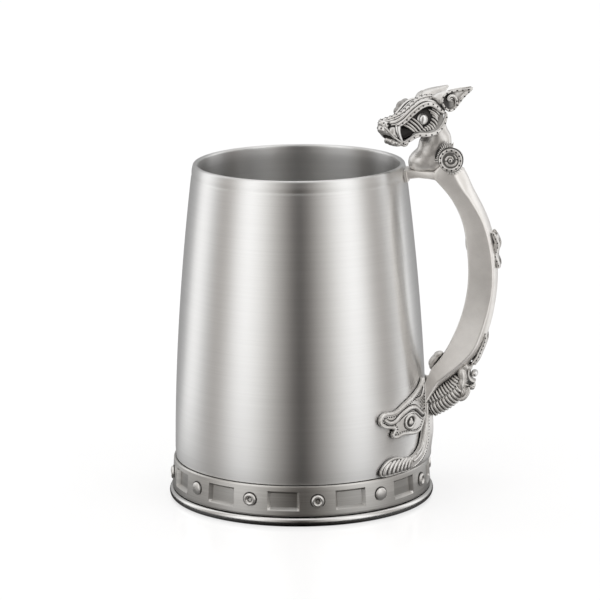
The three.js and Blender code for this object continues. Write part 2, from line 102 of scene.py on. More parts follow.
# %% Place the camera
CAMERA_BEARING = math.radians(8)
CAMERA_RISE = math.radians(12.39)
CAMERA_DISTANCE = 1.3054
CAMERA_ROLL = math.radians(-0.46)
LENS = 208.5
aim = Vector((0, 0, 0.0743))
back = Vector((
    math.sin(CAMERA_BEARING) * math.cos(CAMERA_RISE),
    -math.cos(CAMERA_BEARING) * math.cos(CAMERA_RISE),
    math.sin(CAMERA_RISE),
))
eye_place = Vector((0, 0, 0.077)) + back * CAMERA_DISTANCE
bpy.ops.object.camera_add(location=eye_place)
camera = bpy.context.active_object
camera.name = "studio_camera"
facing = (aim - eye_place).to_track_quat("-Z", "Y")
camera.rotation_euler = (facing.to_matrix() @ Matrix.Rotation(CAMERA_ROLL, 3, "Z")).to_euler()
camera.data.lens = LENS
camera.data.clip_end = 20
bpy.context.scene.camera = camera
print("camera at", tuple(round(v, 3) for v in eye_place))

# %% [markdown]
# ## Finishes
#
# The whole tankard is pewter, so two recipes serve every piece, with other settings. The
# cup is brushed round its girth: the lines are noise stretched along the girth, and the
# anisotropic gloss spreads each reflection up and down. The castings are satin, and keep a
# black patina wherever a rag can't reach, which the ambient occlusion node finds; the same
# darkening also paints shade where parts meet, where castings lie on the cup and where the
# foot stands on the table. Where a founder paints the patina on, as in a pit, the mesh
# carries it as an attribute, which also paints shade inside the cup and in the head's hollows.

# %% Shader maths written as Python expressions
class Value:
    """A socket that takes part in arithmetic, one Math node for each step."""

    def __init__(self, recipe, socket):
        self.recipe = recipe
        self.socket = socket

    def math(self, operation, *values):
        inputs = dict(enumerate(values))
        return self.recipe.node("ShaderNodeMath", {"operation": operation}, inputs, "Value")

    def __add__(self, other):
        return self.math("ADD", self, other)

    def __sub__(self, other):
        return self.math("SUBTRACT", self, other)

    def __rsub__(self, other):
        return self.math("SUBTRACT", other, self)

    def __mul__(self, other):
        return self.math("MULTIPLY", self, other)

    def __truediv__(self, other):
        return self.math("DIVIDE", self, other)

    __radd__ = __add__
    __rmul__ = __mul__


def set_stops(ramp, stops):
    while len(ramp.elements) > 1:
        ramp.elements.remove(ramp.elements[-1])
    for n, (place, tone) in enumerate(stops):
        stop = ramp.elements[0] if n == 0 else ramp.elements.new(place)
        stop.position = place
        stop.color = (*tone, 1) if isinstance(tone, tuple) else (tone, tone, tone, 1)


print("sockets can be added and multiplied")

# %% A recipe holds the nodes of one material
class Recipe:
    """The nodes of one material."""

    def __init__(self, name):
        self.material = bpy.data.materials.new(name)
        self.material.use_nodes = True
        self.tree = self.material.node_tree
        self.tree.nodes.clear()

    def node(self, kind, settings, inputs, output=None):
        made = self.tree.nodes.new(kind)
        for name, value in settings.items():
            if name == "stops":
                set_stops(made.color_ramp, value)
            else:
                setattr(made, name, value)
        for key, value in inputs.items():
            if isinstance(value, Value):
                self.tree.links.new(value.socket, made.inputs[key])
            else:
                made.inputs[key].default_value = value
        return Value(self, made.outputs[output]) if output is not None else made

    def place(self, scale):
        """Object coordinates in millimetres, times a scale along each axis."""
        where = self.node("ShaderNodeTexCoord", {}, {}, "Object")
        size = tuple(s / MM for s in scale)
        return self.node(
            "ShaderNodeVectorMath", {"operation": "MULTIPLY"}, {0: where, 1: size}, "Vector",
        )

    def noise(self, scale, detail=2.0, roughness=0.5):
        return self.node(
            "ShaderNodeTexNoise", {},
            {"Vector": self.place(scale), "Scale": 1, "Detail": detail, "Roughness": roughness},
            "Fac",
        )

    def between(self, value, low, high):
        """0 where a value is at low, 1 where it is at high, and smooth between them."""
        return self.node(
            "ShaderNodeMapRange", {"interpolation_type": "SMOOTHSTEP"},
            {"Value": value, "From Min": low, "From Max": high}, "Result",
        )

    def mix(self, share, first, second):
        return self.node(
            "ShaderNodeMix", {"data_type": "RGBA"}, {0: share, 6: first, 7: second}, 2,
        )

    def gloss(self, **inputs):
        settings = {name.replace("_", " "): value for name, value in inputs.items()}
        shader = self.node("ShaderNodeBsdfPrincipled", {}, settings, "BSDF")
        self.node("ShaderNodeOutputMaterial", {}, {"Surface": shader})
        return self.material


print("recipes ready")

# %% Brushed pewter
BLACK = (0.035, 0.032, 0.030, 1)
DULL_BLACK = (0.06, 0.057, 0.053, 1)


def brushed_pewter(name, tone, shade, roughness, lines, anisotropy, patina_and_shade=0.0):
    """Pewter brushed round the Z axis: lines says how many lines lie in a millimetre."""
    recipe = Recipe(name)
    fine = recipe.noise((0.035, 0.035, lines), 3.0, 0.6)
    broad = recipe.noise((0.012, 0.012, lines * 0.22), 2.0)
    cloud = recipe.noise((0.045, 0.045, 0.045), 2.0)
    lay = fine * 0.6 + broad * 0.4
    colour = recipe.mix(recipe.between(lay, 0.3, 0.72), shade, tone)
    dark = recipe.node("ShaderNodeAttribute", {"attribute_name": "blackened"}, {}, "Fac")
    # Black patina in the hollows, which also paints shade where parts meet and where the foot stands on
    # the table.
    if patina_and_shade:
        open_sky = recipe.node(
            "ShaderNodeAmbientOcclusion", {"samples": 8}, {"Distance": 1.3 * MM}, "AO",
        )
        hollow = (1 - recipe.between(open_sky + (cloud - 0.5) * 0.15, 0.35, 0.85)) * patina_and_shade
        dark = hollow.math("MAXIMUM", hollow, dark)
    colour = recipe.mix(dark, colour, DULL_BLACK)
    height = fine * 0.5 + broad * 0.5
    bump = recipe.node(
        "ShaderNodeBump", {}, {"Strength": 0.10, "Distance": 0.015 * MM, "Height": height}, "Normal",
    )
    return recipe.gloss(
        Base_Color=colour, Metallic=1.0, Roughness=roughness + (lay - 0.5) * 0.08 + cloud * 0.03,
        Anisotropic=anisotropy, Anisotropic_Rotation=0.25, Normal=bump,
    )


print("brushed pewter ready")

# %% Cast pewter
def brightness(colour):
    """How bright a colour looks, from 0 to 1."""
    red, green, blue = colour[:3]
    return 0.2126 * red + 0.7152 * green + 0.0722 * blue


def cast_pewter(name, tone, shade, roughness, patina_and_shade, reach=1.4, grain=0.06):
    """Satin cast pewter, black in its hollows as old pewter is and darkened as painted shade where
    parts meet, by a share from 0 to 1.

    Rubbed places are paler and more metallic than dull ones.
    """
    recipe = Recipe(name)
    open_sky = recipe.node(
        "ShaderNodeAmbientOcclusion", {"samples": 8}, {"Distance": reach * MM}, "AO",
    )
    cloud = recipe.noise((0.22, 0.22, 0.22), 4.0, 0.6)
    speck = recipe.noise((2.6, 2.6, 2.6), 3.0, 0.6)
    mark = recipe.node("ShaderNodeAttribute", {"attribute_name": "blackened"}, {}, "Fac")
    # Black patina where the ambient occlusion finds a hollow, and painted shade where parts meet or a
    # casting lies on the cup.
    hollow = 1 - recipe.between(open_sky + (cloud - 0.5) * 0.2, 0.22, 0.74)
    dark = (hollow * patina_and_shade).math("MAXIMUM", hollow * patina_and_shade, mark)
    rubbed = recipe.between(cloud * 0.7 + speck * 0.3, 0.34, 0.66)
    colour = recipe.mix(dark, recipe.mix(rubbed, shade, tone), BLACK)
    metal = brightness(shade) + rubbed * (brightness(tone) - brightness(shade))
    bump = recipe.node(
        "ShaderNodeBump", {}, {"Strength": 0.25, "Distance": grain * MM, "Height": speck}, "Normal",
    )
    return recipe.gloss(
        Base_Color=colour, Metallic=metal - dark * 0.5,
        Roughness=roughness + (cloud - 0.5) * 0.12 + dark * 0.2, Normal=bump,
    )


print("cast pewter ready")

# %% The tankard's finishes
finishes = {
    "cup": brushed_pewter(
        "brushed_cup", (0.86, 0.855, 0.845, 1), (0.81, 0.805, 0.795, 1), 0.34, 4.0, 1.0,
    ),
    "band": brushed_pewter(
        "brushed_band", (0.76, 0.745, 0.72, 1), (0.60, 0.585, 0.56, 1), 0.36, 4.0, 0.6, 0.8,
    ),
    "foot": brushed_pewter(
        "polished_foot", (0.80, 0.79, 0.775, 1), (0.66, 0.65, 0.64, 1), 0.22, 6.0, 0.5, 0.7,
    ),
    "plain": cast_pewter(
        "plain_casting", (0.84, 0.82, 0.795, 1), (0.70, 0.68, 0.655, 1), 0.36, 0.62, 1.5, 0.03,
    ),
    "satin": cast_pewter(
        "satin_casting", (0.86, 0.845, 0.82, 1), (0.74, 0.72, 0.695, 1), 0.36, 0.9,
    ),
    "bow": cast_pewter(
        "satin_bow", (0.97, 0.945, 0.915, 1), (0.90, 0.875, 0.845, 1), 0.44, 0.15, 1.0, 0.03,
    ),
    # The darkest patina, which also paints shade where the wings, fans and spine lie on the cup.
    "aged_and_shaded": cast_pewter(
        "aged_casting", (0.88, 0.865, 0.845, 1), (0.70, 0.68, 0.655, 1), 0.34, 1.0, 1.5,
    ),
    "polished": cast_pewter(
        "polished_casting", (0.92, 0.915, 0.905, 1), (0.86, 0.855, 0.845, 1), 0.3, 0.8, 0.7, 0.02,
    ),
}
print("finishes:", ", ".join(finishes))

# %% Give a piece its place in the model
shown_pieces = []


def place(piece, finish, slot, *nodes):
    """Gives a piece its finish and body, and hides the CAD nodes that it stands for; the slot is not
    used.
    """
    piece.data.materials.clear()
    piece.data.materials.append(finishes[finish])
    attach(piece, "root")
    if nodes:
        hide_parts(*nodes)
    shown_pieces.append(piece)
    return piece


print("ready to show pieces")

# %% [markdown]
# ## The cup
#
# The real cup is a sheet disc spun over a former, so its wall, lip and floor are one
# turned profile. The same tool serves here: a profile is extruded corner by corner and
# spun round the Z axis in fine steps. The wall leans in, the lip is a half round, and a
# shallow line runs round the outside just under it. The inside is painted a little darker
# than the outside, as painted shade.

# %% Select, edit and finish a piece
def deselect_all():
    if bpy.context.mode != "OBJECT":
        bpy.ops.object.mode_set(mode="OBJECT")
    bpy.ops.object.select_all(action="DESELECT")


def pick(*pieces):
    deselect_all()
    for piece in pieces:
        piece.select_set(True)
    bpy.context.view_layer.objects.active = pieces[0]


def edit_all():
    bpy.ops.object.mode_set(mode="EDIT")
    bpy.ops.mesh.select_all(action="SELECT")


def named(piece, name):
    piece.name = name
    piece.data.name = name
    return piece


def clean(piece, name):
    """Welds a piece's doubles, closes its holes and turns its faces outwards."""
    pick(named(piece, name))
    edit_all()
    bpy.ops.mesh.remove_doubles(threshold=0.002 * MM)
    bpy.ops.mesh.dissolve_degenerate(threshold=0.0005 * MM)
    bpy.ops.mesh.select_all(action="DESELECT")
    bpy.ops.mesh.select_non_manifold(extend=False, use_multi_face=False, use_verts=False)
    bpy.ops.mesh.fill_holes(sides=0)
    bpy.ops.mesh.select_all(action="SELECT")
    bpy.ops.mesh.normals_make_consistent(inside=False)
    bpy.ops.object.mode_set(mode="OBJECT")
    return piece


def smooth(piece, degrees=40):
    pick(piece)
    bpy.ops.object.shade_smooth_by_angle(angle=math.radians(degrees))
    return piece


print("modelling helpers ready")

# %% Spin a profile, and mark patina on a piece
def turned(name, profile, steps=96):
    """Spins a profile of (radius, height) corners round the Z axis."""
    deselect_all()
    bpy.ops.mesh.primitive_plane_add(size=MM)
    piece = bpy.context.active_object
    edit_all()
    bpy.ops.mesh.merge(type="CENTER")
    start = Vector((profile[0][0], 0, profile[0][1])) * MM
    bpy.ops.transform.translate(value=start)
    for here, there in zip(profile, profile[1:]):
        step = Vector((there[0] - here[0], 0, there[1] - here[1])) * MM
        bpy.ops.mesh.extrude_region_move(TRANSFORM_OT_translate={"value": step})
    bpy.ops.mesh.select_all(action="SELECT")
    bpy.ops.mesh.spin(
        steps=steps, angle=2 * math.pi, center=(0, 0, 0), axis=(0, 0, 1), use_auto_merge=False,
    )
    return clean(piece, name)


def arc(centre_x, centre_z, radius, start, end, steps):
    """Corners along an arc, its angles in degrees from +X towards +Z."""
    places = []
    for i in range(steps + 1):
        turn = math.radians(start + (end - start) * i / steps)
        places.append((centre_x + radius * math.cos(turn), centre_z + radius * math.sin(turn)))
    return places


def blacken(piece, amount=1.0):
    """Marks a piece black for the finish to read: the black of pits and seams, and painted shade in the
    cup and in the head's hollows.

    The amount is a share for the whole piece, or a rule that gives one for a place.
    """
    mark = piece.data.attributes.new("blackened", "FLOAT", "POINT")
    if callable(amount):
        values = [amount(*(vertex.co / MM)) for vertex in piece.data.vertices]
    else:
        values = [amount] * len(piece.data.vertices)
    mark.data.foreach_set("value", values)
    return piece


print("spinning helpers ready")

# %% Draw the cup's profile and spin it
FLOOR_UNDERSIDE = cup_low.z
FLOOR_TOP = FLOOR_UNDERSIDE + WALL
FLOOR_FILLET = 5
SKIRT_RADIUS = 46.4
WALL_FOOT = BAND_TOP + 0.3
LINE_HEIGHT = RIM_HEIGHT - 4.4
LINE_SHAPE = (      # (rise, sink) of the turned line's corners
    (-0.6, 0.02), (-0.3, 0.10), (0, 0.16), (0.4, 0.12), (0.9, 0.02), (1.6, -0.02), (2.4, 0.0),
)
# Painted shade inside the cup, as a share of black.
INSIDE_SHADE = 0.2
lip = WALL / 2
profile = [(0, FLOOR_UNDERSIDE), (30, FLOOR_UNDERSIDE), (SKIRT_RADIUS, FLOOR_UNDERSIDE)]
profile += [(SKIRT_RADIUS, BAND_TOP - 2), (SKIRT_RADIUS, WALL_FOOT)]
for i in range(33):
    height = WALL_FOOT + (LINE_HEIGHT - 1 - WALL_FOOT) * i / 32
    profile.append((wall_radius(height) - (0.25 if i == 0 else 0), height))
for rise, sink in LINE_SHAPE:
    profile.append((wall_radius(LINE_HEIGHT + rise) - sink, LINE_HEIGHT + rise))
profile += arc(RIM_RADIUS - lip, RIM_HEIGHT - lip, lip, 0, 180, 10)
for i in range(1, 25):
    height = RIM_HEIGHT - lip + (BAND_TOP - RIM_HEIGHT + lip) * i / 24
    profile.append((wall_radius(height) - WALL, height))
inner = SKIRT_RADIUS - WALL
profile += arc(inner - FLOOR_FILLET, FLOOR_TOP + FLOOR_FILLET, FLOOR_FILLET, 0, -90, 8)
profile += [(20, FLOOR_TOP), (0, FLOOR_TOP)]
cup = smooth(turned("cup", profile, 256), 35)


def inside_shade(x, y, z):
    """How much painted shade the cup has at a place: a little inside and none outside."""
    within = math.hypot(x, y) < wall_radius(z) - WALL / 2
    return INSIDE_SHADE if within and FLOOR_TOP - 0.1 < z < RIM_HEIGHT - 1 else 0


# The cup's inside is darkened as painted shade.
blacken(cup, inside_shade)
place(cup, "cup", "satin_pewter", "barrel")
print("cup faces:", len(cup.data.polygons))

# %% [markdown]
# ## The foot
#
# A bottom disc closes the cup underneath, and a half-round ring stands round it. Both are
# turned on the real tankard, so both are spun here.

# %% Spin the bottom disc and the foot ring
PLATE_CHAMFER = 0.4
plate_radius = plate_high.x
plate = turned("bottom_disc", [
    (0, 0), (plate_radius - 6, 0), (plate_radius - PLATE_CHAMFER, 0), (plate_radius, PLATE_CHAMFER),
    (plate_radius, plate_high.z), (0, plate_high.z),
], 128)
place(smooth(plate, 30), "foot", "satin_pewter", "base_plate")

RING_ROUND = 1.3
ring_inner = plate_radius + 0.3
ring_height = foot_high.z
ring_profile = [(ring_inner, 0.15), (ring_inner + 0.15, 0), (FOOT_RADIUS - 2.2, 0)]
for i in range(17):
    turn = -math.pi / 2 + math.pi * i / 16
    ring_profile.append((
        FOOT_RADIUS - RING_ROUND + RING_ROUND * math.cos(turn),
        ring_height / 2 * (1 + math.sin(turn)),
    ))
ring_profile += [
    (ring_inner + 0.4, ring_height), (ring_inner, ring_height - 0.3), (ring_inner, 0.15),
]
foot = smooth(turned("foot_half_round", ring_profile, 256), 30)
place(foot, "foot", "polished_pewter", "foot_ring")
print("foot radius", round(FOOT_RADIUS, 2))

# %% [markdown]
# ## The panelled band
#
# The band is a cast strip with twelve sunk panels and a stud between each pair. One
# twelfth is modelled flat, from a grid whose lines run along the panel's edges, and its
# panel is pushed in. It is then bent round the cup, copied and turned eleven times, and
# the open edges are drawn inwards and bridged to close its back.

# %% Place corners, copy, join and turn pieces
def set_places(piece, places):
    for vertex, place in zip(piece.data.vertices, places, strict=True):
        vertex.co = Vector(place) * MM


def joined(name, *pieces):
    pick(*pieces)
    bpy.ops.object.join()
    return named(bpy.context.active_object, name)


def copied(piece, name):
    pick(piece)
    bpy.ops.object.duplicate()
    return named(bpy.context.active_object, name)


def settle(piece):
    pick(piece)
    bpy.ops.object.transform_apply(location=True, rotation=True, scale=True)
    return piece


def turn_about_axis(piece, degrees):
    piece.rotation_euler = (0, 0, math.radians(degrees))
    return settle(piece)


def face_outwards(piece):
    """Turns all the faces of a closed piece outwards."""
    pick(piece)
    edit_all()
    bpy.ops.mesh.normals_make_consistent(inside=False)
    bpy.ops.object.mode_set(mode="OBJECT")
    return piece


print("copying helpers ready")

# %% The flat strip and its sunk panel
DIVISIONS = 12
PITCH = 360 / DIVISIONS
PANEL_WIDTH, PANEL_HEIGHT, PANEL_DEPTH, PANEL_SLOPE = 12.0, 7.2, 1.45, 1.0
PANEL_PATINA = 0.3
CREASE = 0.12
BAND_EDGE = 0.5
mean_radius = band_radius(STUD_HEIGHT)


def band_lines(half, inset, coarse):
    """Grid lines along one direction: close at each panel edge, evenly spaced elsewhere."""
    edge = [
        -half - CREASE, -half, -half + CREASE,
        -half + inset - CREASE, -half + inset, -half + inset + CREASE,
    ]
    outside = [-coarse + (coarse - half - CREASE) * i / 8 for i in range(8)]
    inside = [(-half + inset + CREASE) * (1 - i / 6) for i in range(1, 6)]
    left_lines = outside + edge + inside
    return left_lines + [0.0] + [-v for v in reversed(left_lines)]


def sunk(a, b):
    """How far the panel is sunk at a place on the flat strip."""
    inside = min(PANEL_WIDTH / 2 - abs(a), PANEL_HEIGHT / 2 - abs(b))
    share = min(max(inside / PANEL_SLOPE, 0), 1)
    return PANEL_DEPTH * share


def strip_place(a, b, depth):
    """Bends a place on the flat strip round the cup, with the strip's long edges eased."""
    height = min(max(STUD_HEIGHT + b, BAND_BOTTOM), BAND_TOP)
    radius = band_radius(height) - depth
    near_edge = max(0, BAND_EDGE - (height - BAND_BOTTOM), BAND_EDGE - (BAND_TOP - height))
    radius -= 0.5 * near_edge ** 1.5
    turn = a / mean_radius
    return radius * math.cos(turn), radius * math.sin(turn), height


across = band_lines(PANEL_WIDTH / 2, PANEL_SLOPE, math.pi / DIVISIONS * mean_radius)
upward = band_lines(PANEL_HEIGHT / 2, PANEL_SLOPE, (BAND_TOP - BAND_BOTTOM) / 2)
print("strip lines:", len(across), "by", len(upward))

# %% Bend one panel, repeat it round the cup and close the band's back
deselect_all()
bpy.ops.mesh.primitive_grid_add(
    x_subdivisions=len(across) - 1, y_subdivisions=len(upward) - 1, size=MM,
)
panel = bpy.context.active_object
set_places(panel, [strip_place(a, b, sunk(a, b)) for b in upward for a in across])
blacken(panel, lambda x, y, z: (
    PANEL_PATINA * sunk(math.atan2(y, x) * mean_radius, z - STUD_HEIGHT) / PANEL_DEPTH
))
panels = [panel]
for n in range(1, DIVISIONS):
    panels.append(turn_about_axis(copied(panel, f"panel_{n}"), n * PITCH))
band = joined("panelled_band", *panels)
pick(band)
edit_all()
bpy.ops.mesh.remove_doubles(threshold=0.01 * MM)
bpy.ops.mesh.select_all(action="DESELECT")
bpy.ops.mesh.select_non_manifold(extend=False, use_verts=False)
bpy.ops.mesh.extrude_region_move()
squeeze = (SKIRT_RADIUS + 0.3) / (mean_radius - 0.05)
bpy.ops.transform.resize(value=(squeeze, squeeze, 1), center_override=(0, 0, 0))
bpy.ops.mesh.bridge_edge_loops()
face_outwards(band)
place(smooth(band, 25), "band", "aged_pewter", "base_band")
print("band faces:", len(band.data.polygons))

# %% [markdown]
# ## The studs
#
# A stud stands between each pair of panels: a low dome at four places and a ring with a
# dark hollow at the other eight. One of each kind is spun upright with a thin black seam
# round its foot, laid over onto the band, and copied round it.

# %% The two profiles
STUD_RADIUS = 2.4
STUD_SEAM = [(2.3, 0.5), (2.78, 0.5), (2.74, 0.78), (2.3, 0.84), (2.3, 0.5)]
STUD_HOLLOW = [(0, 0.45), (0.95, 0.45), (1.0, 0.86), (0.5, 0.66), (0, 0.64)]


def stud_profile(kind):
    r = STUD_RADIUS
    if kind == "dome":
        return [(0, 0), (r, 0)] + [
            (r * math.cos(math.pi * i / 16), 0.9 + 0.7 * math.sin(math.pi * i / 16))
            for i in range(8)
        ] + [(0, 1.6)]
    return [
        (0, 0), (r, 0), (r, 0.9), (r - 0.12, 1.3), (r - 0.4, 1.6), (r - 0.75, 1.66), (r - 1.1, 1.55),
        (1.05, 1.2), (0.9, 0.9), (0.8, 0.55), (0.4, 0.5), (0, 0.5),
    ]


print("stud radius", STUD_RADIUS)

# %% Spin one stud of each kind and set them round the band
stud_seat = mean_radius - 1 + 0.3
first_stud = {}
for kind in ("dome", "ring"):
    stud = smooth(turned(kind + "_pattern", stud_profile(kind), 40), 50)
    dark_parts = [blacken(turned("seam", STUD_SEAM, 40))]
    if kind == "ring":
        dark_parts.append(blacken(turned("hollow", STUD_HOLLOW, 24)))
    stud = joined(kind + "_pattern", stud, *dark_parts)
    stud.rotation_euler = (0, math.pi / 2, 0)
    stud.location = Vector((stud_seat, 0, STUD_HEIGHT)) * MM
    first_stud[kind] = settle(stud)
counts = {"dome": 0, "ring": 0}
for n in range(DIVISIONS):
    degrees = (n + 0.5) * PITCH
    kind = "dome" if round(degrees) % 90 == 45 else "ring"
    counts[kind] += 1
    stud = turn_about_axis(copied(first_stud[kind], f"{kind}_rivet_{counts[kind]}"), degrees)
    slot = "polished_pewter" if kind == "dome" else "satin_pewter"
    place(stud, "satin", slot, f"{kind}_stud_{counts[kind]}")
for pattern in first_stud.values():
    bpy.data.objects.remove(pattern)
print("studs:", counts)

# %% [markdown]
# ## The bow
#
# The grip is one flat-sided casting, bent into a C and broad across its back. Its outline
# is filled and extruded sideways, and a bevel breaks its long edges, as a file does. Cuts
# along it then let its back be crowned a little, so that it catches the light along its
# length, and let its side faces lean in towards the fingers.

# %% Draw smooth lines, and fill, bevel and reshape a piece
def curved(points, spans=4, closed=False):
    """A smooth line through a few points, of any number of dimensions."""
    count = len(points)
    places = []
    for i in range(count if closed else count - 1):
        if closed:
            four = [points[(i + k) % count] for k in (-1, 0, 1, 2)]
        else:
            four = [points[min(max(i + k, 0), count - 1)] for k in (-1, 0, 1, 2)]
        for s in range(spans):
            t = s / spans
            places.append(tuple(
                0.5 * (
                    2 * q + (r - p) * t + (2 * p - 5 * q + 4 * r - after) * t * t
                    + (3 * q - p - 3 * r + after) * t * t * t
                )
                for p, q, r, after in zip(*four)
            ))
    if not closed:
        places.append(tuple(points[-1]))
    return places


def flat(name, outline, y_low, y_high):
    """Fills an outline of (x, z) corners and extrudes it from y_low to y_high."""
    deselect_all()
    bpy.ops.mesh.primitive_circle_add(vertices=len(outline), fill_type="NGON")
    piece = bpy.context.active_object
    set_places(piece, [(x, y_low, z) for x, z in outline])
    edit_all()
    step = Vector((0, y_high - y_low, 0)) * MM
    bpy.ops.mesh.extrude_region_move(TRANSFORM_OT_translate={"value": step})
    return clean(piece, name)


def modify(piece, kind, **settings):
    """Adds a modifier with its settings and applies it."""
    pick(piece)
    modifier = piece.modifiers.new(kind.title(), kind)
    for key, value in settings.items():
        setattr(modifier, key, value)
    bpy.ops.object.modifier_apply(modifier=modifier.name)
    return piece


def soften(piece, width, segments=2, degrees=35):
    """Rounds a piece's sharp edges by a small bevel, as casting and polishing leave them."""
    return modify(
        piece, "BEVEL", width=width * MM, segments=segments, limit_method="ANGLE",
        angle_limit=math.radians(degrees), use_clamp_overlap=True,
    )


def reshape(piece, rule):
    """Moves every corner by a rule on its place in millimetres."""
    for vertex in piece.data.vertices:
        vertex.co = Vector(rule(*(vertex.co / MM))) * MM
    piece.data.update()


print("outline helpers ready")

# %% The bow's outline
BOW_INNER = [
    (49.7, 49.3), (54.6, 55.6), (59.1, 64.9), (62.1, 74), (63.7, 84),
    (63.5, 94.6), (61.7, 106), (57.5, 115), (51.2, 122.4),
]
BOW_OUTER = [
    (61.9, 125.6), (63.6, 122.2), (64.8, 119.2), (66.4, 116), (68.6, 111.8), (70.6, 107.2),
    (72.2, 102.4), (73.4, 97), (74.2, 91), (74.4, 85), (74.1, 79.5), (73.3, 73.8), (72.2, 68.4),
    (70.6, 63), (68.6, 58), (65.9, 54), (62.6, 50.6), (58.6, 47.2), (53.5, 43.0),
]
bow_low, bow_high = node_box("handle_bow")
HUB_RADIUS = 3.9
HUB_X, HUB_Z = 57.2, bow_high.z - 4.7
bow_half = bow_high.y
inner_line = curved(BOW_INNER, 5)
outer_line = curved(BOW_OUTER, 5)
hub_line = arc(HUB_X, HUB_Z, HUB_RADIUS, 195, -30, 24)
bow_line = [(44, 43)] + inner_line + [(51.2, 125.3)] + hub_line + outer_line + [(44, 34.6)]
print("bow outline corners:", len(bow_line))

# %% Rules that shape the bow
def clear_of_cup(x, y, z, gap):
    """Keeps a corner outside the cup's wall by a gap."""
    reach = math.hypot(x, y)
    least = wall_radius(z) + gap
    if reach >= least:
        return x, y, z
    return math.sqrt(max(least * least - y * y, 0)), y, z


def nearest(line, x, z):
    """The distance from a place to a line, and the line's way there."""
    best = (1e9, None)
    for here, there in zip(line, line[1:]):
        a, b, p = Vector(here), Vector(there), Vector((x, z))
        share = min(max((p - a).dot(b - a) / (b - a).length_squared, 0), 1)
        distance = (p - a.lerp(b, share)).length
        if distance < best[0]:
            best = (distance, (b - a).normalized())
    return best


def ease(value, low, high):
    share = min(max((value - low) / (high - low), 0), 1)
    return share * share * (3 - 2 * share)


def crown_bow(x, y, z):
    """Rounds the bow's back and leans its side faces in towards the fingers low down."""
    distance, way = nearest(outer_line, x, z)
    side = abs(y) / bow_half
    if distance < 1.2 and z < HUB_Z - 2:
        fall = 1.2 + 1.0 * ease(z, 84, 64) + 0.7 * ease(z, 106, 116) + 1.6 * ease(z, 115, 123)
        x += way.y * fall * side * side
        z -= way.x * fall * side * side
    inner_distance, _ = nearest(inner_line, x, z)
    y *= 1 - (0.06 + 0.46 * ease(z, 98, 60)) * ease(inner_distance, 12, 0)
    if y > 0:
        y *= 1 - 0.2 * ease(z, 114, 124)
    return clear_of_cup(x, y, z, 0.4)


print("bow rules ready")

# %% Fill, extrude, cut and crown the bow
bow = flat("bow", bow_line, -bow_half, bow_half)
soften(bow, 0.75, 3, 50)
for cut in (-4.8, -3.2, -1.6, 0, 1.6, 3.2, 4.8):
    pick(bow)
    edit_all()
    bpy.ops.mesh.bisect(plane_co=(0, cut * MM, 0), plane_no=(0, 1, 0))
    bpy.ops.object.mode_set(mode="OBJECT")
reshape(bow, crown_bow)
modify(bow, "TRIANGULATE")
place(smooth(bow, 32), "bow", "satin_pewter", "handle_bow")
print("bow faces:", len(bow.data.polygons))

# %% [markdown]
# ## The arm
#
# A short flat bar joins the handle's shoulder to the cup just under the rim. The bar is an
# extruded outline, waisted in the middle and broader where it runs into the bow.

# %% Fill and extrude the arm
arm_low, arm_high = node_box("handle_arm")
arm_end = arm_high.x + 2.4
ARM_UNDERSIDE = ((38, -0.7), (40.6, -0.6), (42, -0.1), (45, 0.3), (48.5, 0.2), (arm_end, -0.3))
ARM_TOP = ((arm_end, 0.2), (48.5, 0.1), (45, 0.1), (42, 0.3), (38, 0.6))
arm_line = [(x, arm_low.z + rise) for x, rise in ARM_UNDERSIDE]
arm_line += [(x, arm_high.z + rise) for x, rise in ARM_TOP]
arm = flat("arm", arm_line, -arm_high.y, arm_high.y)
soften(arm, 0.6, 3, 50)
modify(arm, "TRIANGULATE")
reshape(arm, lambda x, y, z: clear_of_cup(x, y * (1 + 0.56 * ease(x, 44, 53.5)), z, 0.2))
place(smooth(arm, 40), "bow", "satin_pewter", "handle_arm")
print("arm reaches", round(arm_end, 1))

# %% [markdown]
# ## The solder pad
#
# A thin plate spreads the arm's solder joint over the cup's wall. A plate on a round wall
# is easiest drawn flat: its outline is filled, cut across at an even spacing so that it can
# bend, given its thickness, and wrapped round the cup. The wings, the fans and the spine
# further down are made in the same way.

# %% Wrap flat castings round the cup
WRAP_RADIUS = wall_radius(35)


def wrap(along, depth, height):
    """A place on the cup's wall, by arc length from the handle towards the left side."""
    turn = -along / WRAP_RADIUS
    radius = wall_radius(height) + depth
    return radius * math.cos(turn), radius * math.sin(turn), height


def bent_to_cup(piece, gap, crown=None):
    """Wraps a flat plate round the cup; a crown adds to its thickness at a place."""
    def rule(along, depth, height):
        extra = crown(along, height) if crown and depth > 0 else 0
        return wrap(along, depth + gap + extra, height)

    reshape(piece, rule)
    return smooth(piece, 40)


def plate_on_cup(name, outline, thickness, spacing, gap=0.3, crown=None, edge=0.35):
    """A thin casting on the cup's wall from an outline of (arc length, height) corners."""
    deselect_all()
    bpy.ops.mesh.primitive_circle_add(vertices=len(outline), fill_type="NGON")
    piece = bpy.context.active_object
    set_places(piece, [(a, 0, h) for a, h in outline])
    pick(piece)
    for axis, way in ((0, Vector((1, 0, 0))), (2, Vector((0, 0, 1)))):
        low = min(p[axis // 2] for p in outline)
        high = max(p[axis // 2] for p in outline)
        cuts = int((high - low) / spacing)
        for n in range(1, cuts + 1):
            edit_all()
            cut = low + (high - low) * n / (cuts + 1)
            bpy.ops.mesh.bisect(plane_co=way * (cut * MM), plane_no=way)
    edit_all()
    bpy.ops.mesh.remove_doubles(threshold=0.01 * MM)
    bpy.ops.mesh.extrude_region_move(TRANSFORM_OT_translate={"value": (0, thickness * MM, 0)})
    face_outwards(named(piece, name))
    soften(piece, edge, 2, 60)
    return bent_to_cup(piece, gap, crown)


print("wrapping helpers ready")

